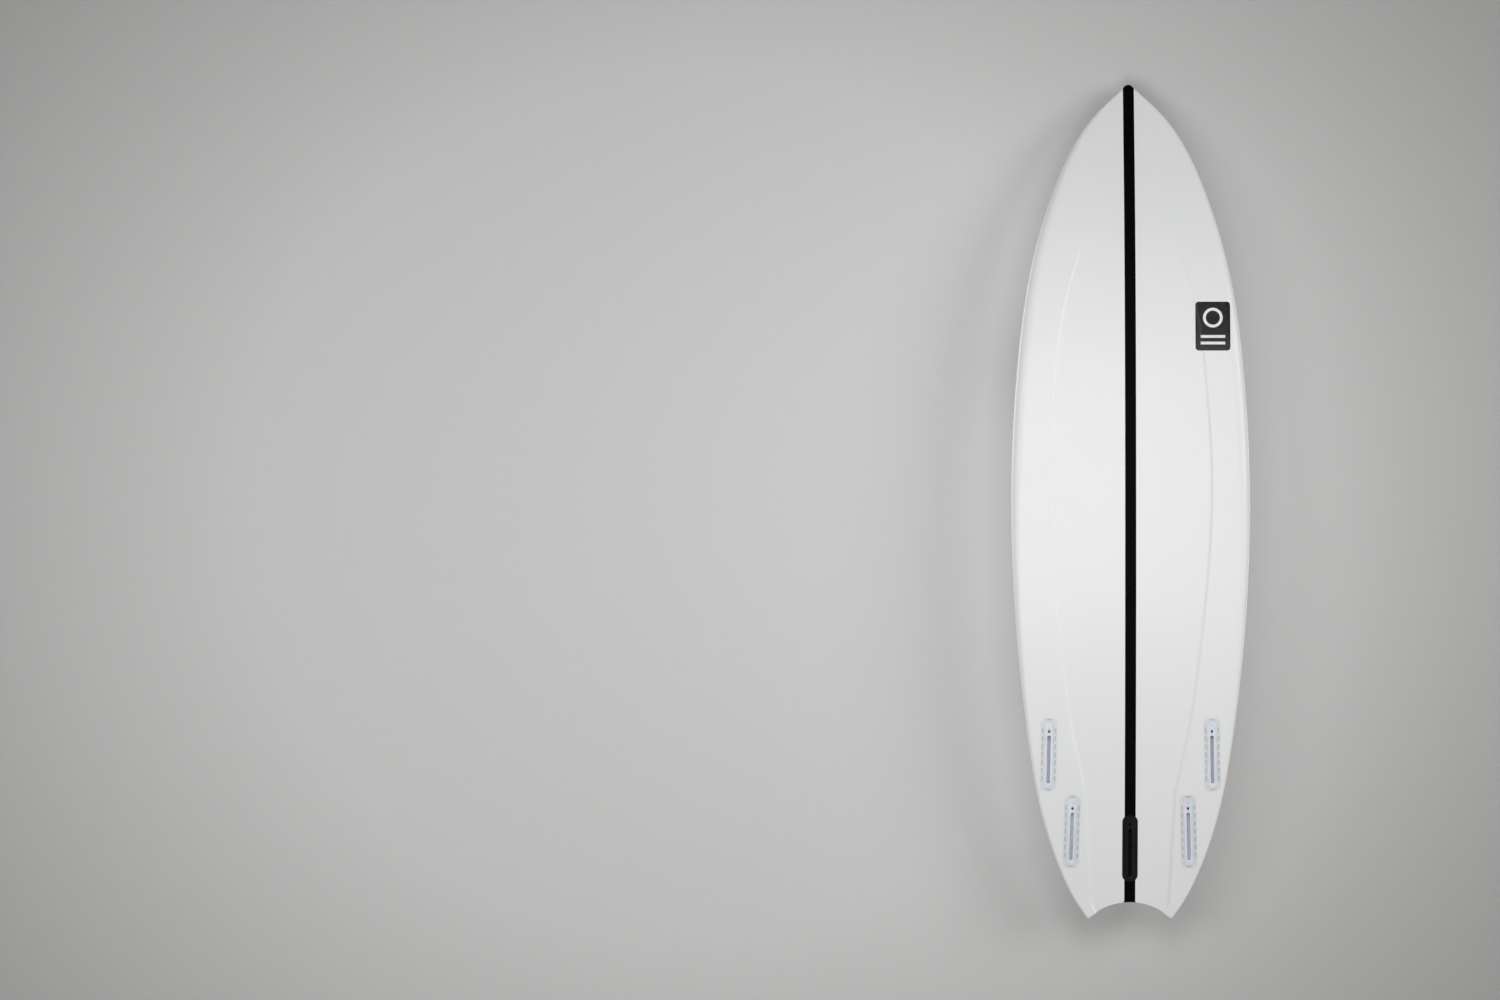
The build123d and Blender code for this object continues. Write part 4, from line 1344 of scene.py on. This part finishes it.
def print_material(name, ink, thin_ink):
    """Printed ink under resin: dense in the middle, mottled where it went on thin."""
    material, nodes, shader = new_material(name)
    ripple = use(nodes, RESIN_RIPPLE)
    cloth = use(nodes, GLASS_CLOTH)
    mottle = nodes.noise(240.0, nodes.place(), 5.0, 0.65)
    colour = nodes.mix(nodes.range(mottle, 0.0, 1.0, 0.4, 0.8), ink, thin_ink)
    roughness = nodes.range(ripple.outputs["Dullness"], 0.26, 0.38)
    heights = [(cloth.outputs["Height"], 0.06, 0.0001), (mottle, 0.08, 0.00006)]
    dress(
        nodes, shader, colour, roughness, heights,
        Coat_Weight=0.15, Coat_Roughness=0.1, Specular_IOR_Level=0.2,
    )
    return material


def foam_material():
    """Shaped foam core with fine cells."""
    material, nodes, shader = new_material("foam")
    place = nodes.place()
    cells = nodes.add("TexVoronoi", {"Vector": place, "Scale": 420.0}).outputs["Distance"]
    tone = nodes.mix(nodes.noise(6.0, place), (0.72, 0.71, 0.66), (0.80, 0.79, 0.74))
    colour = nodes.mix(nodes.range(cells, 0.25, 0.0), tone, (0.55, 0.54, 0.50))
    roughness = nodes.range(cells, 0.75, 0.92)
    dress(nodes, shader, colour, roughness, [(cells, 0.5, 0.0006)], Subsurface_Weight=0.1)
    return material


WHITE_LAMINATE = white_laminate_material()
STRINGER_BLACK = stringer_material()
PINLINE_GREY = pinline_material()
FLANGE_PLASTIC = box_plastic_material(
    "pale_flange_plastic", (0.68, 0.684, 0.70), (0.73, 0.733, 0.745), softness=0.3
)
TUB_PLASTIC = box_plastic_material(
    "pale_box_plastic", (0.74, 0.735, 0.80), (0.79, 0.785, 0.845), softness=0.8
)
KEY_RESIN = box_plastic_material("key_resin", (0.50, 0.50, 0.53), (0.57, 0.57, 0.60), softness=0.1)
BLACK_PLASTIC = box_plastic_material(
    "black_box_plastic", (0.003, 0.003, 0.004), (0.007, 0.007, 0.009), gloss=0.16
)
STEEL = steel_material("stainless_steel", (0.44, 0.45, 0.46), (0.62, 0.62, 0.63))
DARK_STEEL = steel_material("dark_screw_steel", (0.045, 0.045, 0.048), (0.10, 0.10, 0.105))
PLUG_PLASTIC = box_plastic_material(
    "plug_plastic", (0.66, 0.65, 0.61), (0.74, 0.73, 0.70), softness=0.15
)
BLACK_PRINT = print_material("black_print", (0.008, 0.008, 0.009), (0.035, 0.035, 0.037))
WHITE_PRINT = print_material("white_print", (0.82, 0.82, 0.81), (0.62, 0.62, 0.61))
FOAM = foam_material()


# Pieces

BOX_NAMES = ("front_left", "front_right", "rear_left", "rear_right", "centre")
PLUG_HOLE_RADIUS = 9 * MM

fin_boxes = [FinBox(name) for name in BOX_NAMES]
box_holes = [box.covers for box in fin_boxes]


def under_plug(points):
    """Whether points lie well inside the leash plug's flange."""
    x, s = plug_centre()
    along = np.maximum(np.abs(points[:, 2] - height(s)) - PLUG_HOLE_RADIUS, 0)
    return np.hypot(points[:, 0] - x, along) < PLUG_HOLE_RADIUS


laminate(LEFT, "laminate_left", box_holes, WHITE_LAMINATE)
laminate(RIGHT, "laminate_right", box_holes, WHITE_LAMINATE)
deck_skin([under_plug], WHITE_LAMINATE)
pinline(PINLINE_GREY)
stringer(box_holes, STRINGER_BLACK)
for box in fin_boxes:
    box.body()
    box.screw(DARK_STEEL)
leash_plug(PLUG_PLASTIC)
leash_bar(STEEL)
leash_patch(BLACK_PRINT)
deck_marks(BLACK_PRINT)
badge(BLACK_PRINT, WHITE_PRINT)

# The shaped foam is drawn in a little, so that it stays under the skins at the panel's corners.
FOAM_ROOM = 1.5 * MM

for node in ("foam_core_left", "foam_core_right"):
    core = bpy.data.objects[node]
    core.data.materials.clear()
    core.data.materials.append(FOAM)
    room = core.modifiers.new("room", "DISPLACE")
    room.strength = -FOAM_ROOM
    room.mid_level = 0.0


# Studio

VIEW_OFFSET = 0.808
VIEW_HEIGHT = 0.002
FRAME_WIDTH = 3.183
LENS_MM = 200
SENSOR_MM = 36
BOTTOM_WALL_Y = -0.165
DECK_WALL_Y = 0.05
SIDE_WALL_X = -3.0
FLOOR_Z = -1.3
FLOOR_REACH = 12
WALL_TOP = 6.0
# Painted pool of light on the backdrop: full paper grey within the first distance of this middle,
# dimmed to a darker grey beyond the second.
PAINTED_POOL_MIDDLE = (0.95, 0.0, 0.0)
WALL_REACH = 8.0
PAINTED_BRIGHT_WITHIN = 0.95
PAINTED_DIM_BEYOND = 2.3
SQUARE_ON_BELOW = 0.93


def stage_plane(name, corners, material):
    """Flat four-cornered piece of the studio."""
    mesh = bpy.data.meshes.new(name)
    mesh.from_pydata(corners, [], [(0, 1, 2, 3)])
    plane = bpy.data.objects.new(name, mesh)
    bpy.context.scene.collection.objects.link(plane)
    mesh.materials.append(material)


def wall_material():
    """Matt grey paper with a painted pool of light about its middle, that only the camera sees, and
    only from its front.
    """
    material, nodes, shader = new_material("backdrop")
    place = nodes.place()
    speckle = nodes.noise(60.0, place, 4.0)
    paper = nodes.mix(speckle, (0.625, 0.625, 0.625), (0.640, 0.639, 0.637))
    # Painted light: the paper's colour dims with distance from the pool's middle.
    ends = {0: place, 1: PAINTED_POOL_MIDDLE}
    apart = nodes.add("VectorMath", ends, operation="DISTANCE").outputs["Value"]
    painted_dimming = nodes.range(apart, 0.0, 1.0, PAINTED_BRIGHT_WITHIN, PAINTED_DIM_BEYOND)
    colour = nodes.mix(painted_dimming, paper, (0.36, 0.355, 0.352))
    dress(nodes, shader, colour, nodes.range(speckle, 0.85, 0.95), [(speckle, 0.05, 0.0005)])
    shader.inputs["Specular IOR Level"].default_value = 0.0
    camera_ray = nodes.add("LightPath").outputs["Is Camera Ray"]
    behind = nodes.add("NewGeometry").outputs["Backfacing"]
    front = nodes.math("SUBTRACT", 1.0, behind)
    facing = nodes.add("LayerWeight", {"Blend": 0.5}).outputs["Facing"]
    square_on = nodes.math("LESS_THAN", facing, SQUARE_ON_BELOW)
    shown = nodes.math("MULTIPLY", nodes.math("MULTIPLY", camera_ray, front), square_on)
    clear = nodes.add("BsdfTransparent").outputs[0]
    both = nodes.add("MixShader", {0: shown, 1: clear, 2: shader.outputs[0]})
    output = nodes.tree.nodes["Material Output"]
    nodes.tree.links.new(both.outputs[0], output.inputs["Surface"])
    return material


def floor_material():
    """Plain pale floor."""
    material, nodes, shader = new_material("floor")
    speckle = nodes.noise(40.0, nodes.place(), 4.0)
    colour = nodes.mix(speckle, (0.58, 0.58, 0.57), (0.62, 0.62, 0.61))
    dress(nodes, shader, colour, nodes.range(speckle, 0.75, 0.9), [(speckle, 0.05, 0.0005)])
    return material


def soft_light(name, place, target, size, power):
    """Large square lamp that points at a target."""
    lamp = bpy.data.lights.new(name, "AREA")
    lamp.size = size
    lamp.energy = power
    thing = bpy.data.objects.new(name, lamp)
    thing.location = place
    thing.visible_camera = False
    thing.rotation_euler = (Vector(target) - Vector(place)).to_track_quat("-Z", "Y").to_euler()
    bpy.context.scene.collection.objects.link(thing)


paper = wall_material()
for name, start, end in (
    ("bottom_backdrop", (WALL_REACH, BOTTOM_WALL_Y), (-WALL_REACH, BOTTOM_WALL_Y)),
    ("deck_backdrop", (-WALL_REACH, DECK_WALL_Y), (WALL_REACH, DECK_WALL_Y)),
    ("side_backdrop", (SIDE_WALL_X, -WALL_REACH), (SIDE_WALL_X, WALL_REACH)),
):
    corners = [(*start, FLOOR_Z), (*end, FLOOR_Z), (*end, WALL_TOP), (*start, WALL_TOP)]
    stage_plane(name, corners, paper)
floor_corners = [
    (-FLOOR_REACH, -FLOOR_REACH, FLOOR_Z),
    (FLOOR_REACH, -FLOOR_REACH, FLOOR_Z),
    (FLOOR_REACH, FLOOR_REACH, FLOOR_Z),
    (-FLOOR_REACH, FLOOR_REACH, FLOOR_Z),
]
stage_plane("floor", floor_corners, floor_material())
soft_light("bottom_front", (0.12, 1.5, 0.13), (0.08, 0, 0.13), 1.0, 10.2)
soft_light("bottom_far_side", (2.2, 2.4, 0.1), (2.2, 0, 0.1), 1.6, 26)
soft_light("bottom_key", (-4.4, 3.0, 1.1), (0, 0, 0), 2.4, 103)
soft_light("deck_front", (-0.1, -1.5, 0.08), (0, 0, 0.08), 1.0, 10.0)
soft_light("deck_far_side", (-2.2, -2.4, 0.1), (-2.2, 0, 0.1), 1.6, 24)
soft_light("deck_key", (4.4, -3.0, 1.1), (0, 0, 0), 2.4, 98)

world = bpy.data.worlds.new("studio")
bpy.context.scene.world = world
world.use_nodes = True
world.node_tree.nodes["Background"].inputs["Color"].default_value = (0.80, 0.80, 0.79, 1.0)
world.node_tree.nodes["Background"].inputs["Strength"].default_value = 0.30
bpy.context.scene.view_settings.view_transform = "Standard"

lens = bpy.data.cameras.new("camera")
lens.lens = LENS_MM
lens.sensor_width = SENSOR_MM
lens.clip_end = 100
camera = bpy.data.objects.new("camera", lens)
distance = FRAME_WIDTH * LENS_MM / SENSOR_MM
camera.location = (VIEW_OFFSET, distance, VIEW_HEIGHT)
camera.rotation_euler = (math.pi / 2, 0, math.pi)
bpy.context.scene.collection.objects.link(camera)
bpy.context.scene.camera = camera
